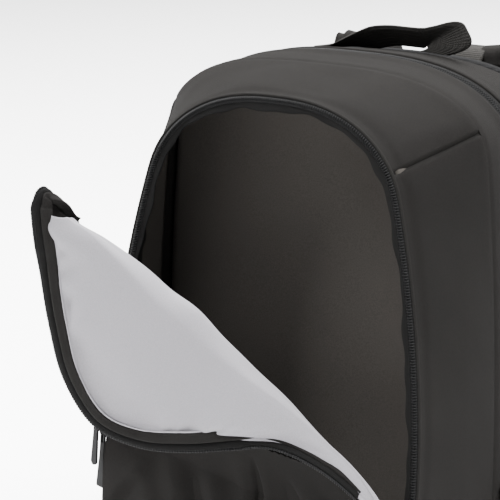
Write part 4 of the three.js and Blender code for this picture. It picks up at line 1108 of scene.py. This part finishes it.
def side_webbing(side, sign):
    """The lower webbing from the adjuster at the strap's end to the foot of the bag."""
    x, z = STRAP_END
    end_x, end_z = WEBBING_END
    y = back_face_y(x, z) + STRAP_THICKNESS / 2 - 2.5 - SEAM_GAP
    buckle_top = z - 2 * SEAM_GAP
    half_z = mix(buckle_top - 9, end_z, 0.6)
    controls = [
        (sign * x, y, buckle_top - 9),
        (sign * x, y, buckle_top - BUCKLE_LENGTH),
        (sign * mix(x, end_x, 0.5), back_face_y(end_x, half_z) + 4, half_z),
        (sign * end_x, back_face_y(end_x, end_z) + 1.4, end_z),
    ]
    grid = band_grid(controls, 80, lambda share: WEBBING_WIDTH, lambda share: sideways, 20)
    ridge = 0.15 * np.cos(np.linspace(0, 1, 20)[None, :] * 2 * math.pi * WEBBING_RIBS)
    webbing = slab(f"lower_webbing_{side}", grid, -0.9 - ridge * 0.5, 0.9 + ridge, webbing_cloth)
    rode(webbing, "webbing", f"lower_webbing_{side}")


def pocket_point(sign, t, z, fullness):
    """A point of a side pocket: t runs from its front edge to its back edge."""
    y = mix(POCKET_FRONT_Y, POCKET_BACK_Y, t)
    if y < ZIP_FRONT_Y:
        share = (y - JOINT_Y) / (ZIP_FRONT_Y - JOINT_Y)
        station = blend_station(STATIONS["joint"], STATIONS["zip_front"], share)
    else:
        share = max(0, (y - ZIP_BACK_Y) / (BACK_Y - ZIP_BACK_Y))
        station = blend_station(STATIONS["zip_back"], STATIONS["back"], share)
    x = section(station, share_at_height(station, z))[0]
    return sign * (x + 0.9 + POCKET_BULGE * math.sin(math.pi * t) ** 0.6 * fullness), y, z


for side, sign in (("right", 1), ("left", -1)):
    strap_controls = []
    for x_share, drop, stand in STRAP_ROWS:
        x = mix(STRAP_ANCHOR[0], STRAP_END[0], x_share)
        z = mix(STRAP_ANCHOR[1], STRAP_END[1], drop)
        y = back_face_y(x, z) + STRAP_THICKNESS / 2 + 0.5 + stand * STRAP_STAND
        strap_controls.append((sign * x, y, z))
    strap_grid = band_grid(
        strap_controls, STRAP_LENGTH_POINTS, lambda share: 2 * mix(STRAP_TOP_HALF, STRAP_END_HALF, share),
        lambda share: sideways + [0, 0, sign * 0.14 * float(smooth(0.3, 0.1, share))], STRAP_WIDTH_POINTS)
    across = np.abs(np.linspace(-1, 1, STRAP_WIDTH_POINTS))[None, :]
    down = np.linspace(0, 1, STRAP_LENGTH_POINTS)[:, None]
    thickness = STRAP_THICKNESS / 2 * (1 - 0.72 * smooth(0.72, 1.0, across))
    thickness = thickness * (1 - 0.5 * bump(across, 0.86, 0.05))
    thickness = thickness * (1 - 0.55 * smooth(0.04, 0, down)) * (1 - 0.6 * smooth(0.95, 1, down))
    strap = slab(f"shoulder_strap_pad_{side}", strap_grid, -thickness, thickness, shell_cloth)
    rode(strap, "shell_cloth", f"shoulder_strap_{side}")
    for edge, border in (("inner", 0), ("outer", -1)):
        line = strap_grid[:, border]
        normals = grid_normals(strap_grid)[:, border]
        frames = path_frames(line, normals, 200)
        ring = np.stack([1.6 * np.cos(piping_angle), 2.6 * np.sin(piping_angle)], axis=-1)
        rode(sweep(f"strap_binding_{edge}_{side}", frames, ring, binding_cloth), "dark_cloth")
    middle = STRAP_WIDTH_POINTS // 2
    outward = grid_normals(strap_grid)[:, middle]
    outward = outward * np.sign(outward[STRAP_LENGTH_POINTS // 2, 1])
    line = strap_grid[:, middle] + outward * (STRAP_THICKNESS / 2 - 0.2)
    reach = np.linspace(-WEBBING_WIDTH / 2, WEBBING_WIDTH / 2, 16)[None, :, None]
    web = line[:STRAP_WEBBING_POINTS, None] + sideways * reach
    web_normals = np.broadcast_to(outward[:STRAP_WEBBING_POINTS, None], web.shape)
    rode(slab(f"strap_webbing_{side}", web, -0.4, 1.3, webbing_cloth, normals=web_normals), "webbing")

    side_webbing(side, sign)

    # Side pocket with an elastic hem
    rows = []
    for down_share in np.linspace(0, 1, POCKET_ROWS):
        fullness = max(math.cos(math.pi / 2 * down_share), 0) ** 0.5
        z = mix(POCKET_TOP_Z, POCKET_BASE_Z, down_share)
        rows.append([pocket_point(sign, t, z, fullness) for t in np.linspace(0, 1, POCKET_COLUMNS)])
    pocket_grid = np.array(rows)
    gathers = 0.9 * np.sin(np.linspace(0, 1, POCKET_COLUMNS) * 2 * math.pi * POCKET_GATHERS)[None, :]
    gathers = gathers * np.exp(-np.linspace(0, 9, POCKET_ROWS))[:, None]
    outward = grid_normals(pocket_grid)
    outward = outward * np.where(outward[..., :1] * sign < 0, -1, 1)
    if sign > 0:
        pocket_grid, outward, gathers = pocket_grid[:, ::-1], outward[:, ::-1], gathers[:, ::-1]
    relief = 0.6 * ripples(pocket_grid, 50, 61) + gathers
    pocket = slab(f"side_pocket_{side}", pocket_grid, -0.2 + 0.5 * relief, 1.3 + relief, mesh_cloth,
                  normals=outward)
    rode(pocket, "mesh_cloth", f"side_pocket_{side}")
    pocket_frames = path_frames(pocket_grid[2], outward[2], 300)
    hem_shape = np.array([
        (-5, 1.4), (-4.6, 2.4), (0, 2.7), (4.6, 2.4), (5, 1.4), (4.6, -0.4), (0, -0.7), (-4.6, -0.4),
    ])
    rode(sweep(f"pocket_hem_{side}", pocket_frames, hem_shape, binding_cloth), "dark_cloth")

# Floor, light and camera
FLOOR_REACH_M = 6.0
floor_mesh = bpy.data.meshes.new("floor")
floor_corners = [(x * FLOOR_REACH_M, y * FLOOR_REACH_M, 0) for x, y in ((-1, -1), (1, -1), (1, 1), (-1, 1))]
floor_mesh.from_pydata(floor_corners, [], [(0, 1, 2, 3)])
floor = bpy.data.objects.new("floor", floor_mesh)
bpy.context.scene.collection.objects.link(floor)
floor_material, _, floor_shader = new_material("floor")
set_values(floor_shader, {"Base Color": (0.95, 0.95, 0.95, 1), "Roughness": 0.9})
floor_mesh.materials.append(floor_material)

world = bpy.data.worlds.new("studio")
world.use_nodes = True
set_values(world.node_tree.nodes["Background"], {"Color": (1, 1, 1, 1), "Strength": 0.95})
bpy.context.scene.world = world


def add_area(name, place, target, size_m, watts):
    light = bpy.data.lights.new(name, "AREA")
    light.shape = "SQUARE"
    light.size = size_m
    light.energy = watts
    lamp = bpy.data.objects.new(name, light)
    lamp.location = place
    lamp.rotation_euler = (Vector(target) - Vector(place)).to_track_quat("-Z", "Y").to_euler()
    bpy.context.scene.collection.objects.link(lamp)


LAMPS = (
    # name, place and target in metres, side in metres, power in watts
    ("overhead", (0.3, 0.5, 3.2), (0, 0.1, 0), 4.0, 1350),
    ("key", (-1.5, -1.0, 1.7), (-0.05, -0.1, 0.3), 0.6, 150),
    ("fill", (2.4, -1.6, 1.2), (0, 0, 0.25), 1.8, 15),
)
for lamp_row in LAMPS:
    add_area(*lamp_row)

azimuth = math.radians(CAMERA_AZIMUTH)
elevation = math.radians(CAMERA_ELEVATION)
look = Vector((-math.sin(azimuth) * math.cos(elevation), math.cos(azimuth) * math.cos(elevation),
               -math.sin(elevation)))
camera_data = bpy.data.cameras.new("camera")
camera_data.sensor_width = SENSOR_WIDTH
camera_data.lens = FOCAL_SHARE * SENSOR_WIDTH
camera_data.clip_end = 50
camera = bpy.data.objects.new("camera", camera_data)
camera.location = (Vector(CAMERA_TARGET) - look * CAMERA_DISTANCE) * MM
camera.rotation_euler = look.to_track_quat("-Z", "Y").to_euler()
bpy.context.scene.collection.objects.link(camera)
bpy.context.scene.camera = camera
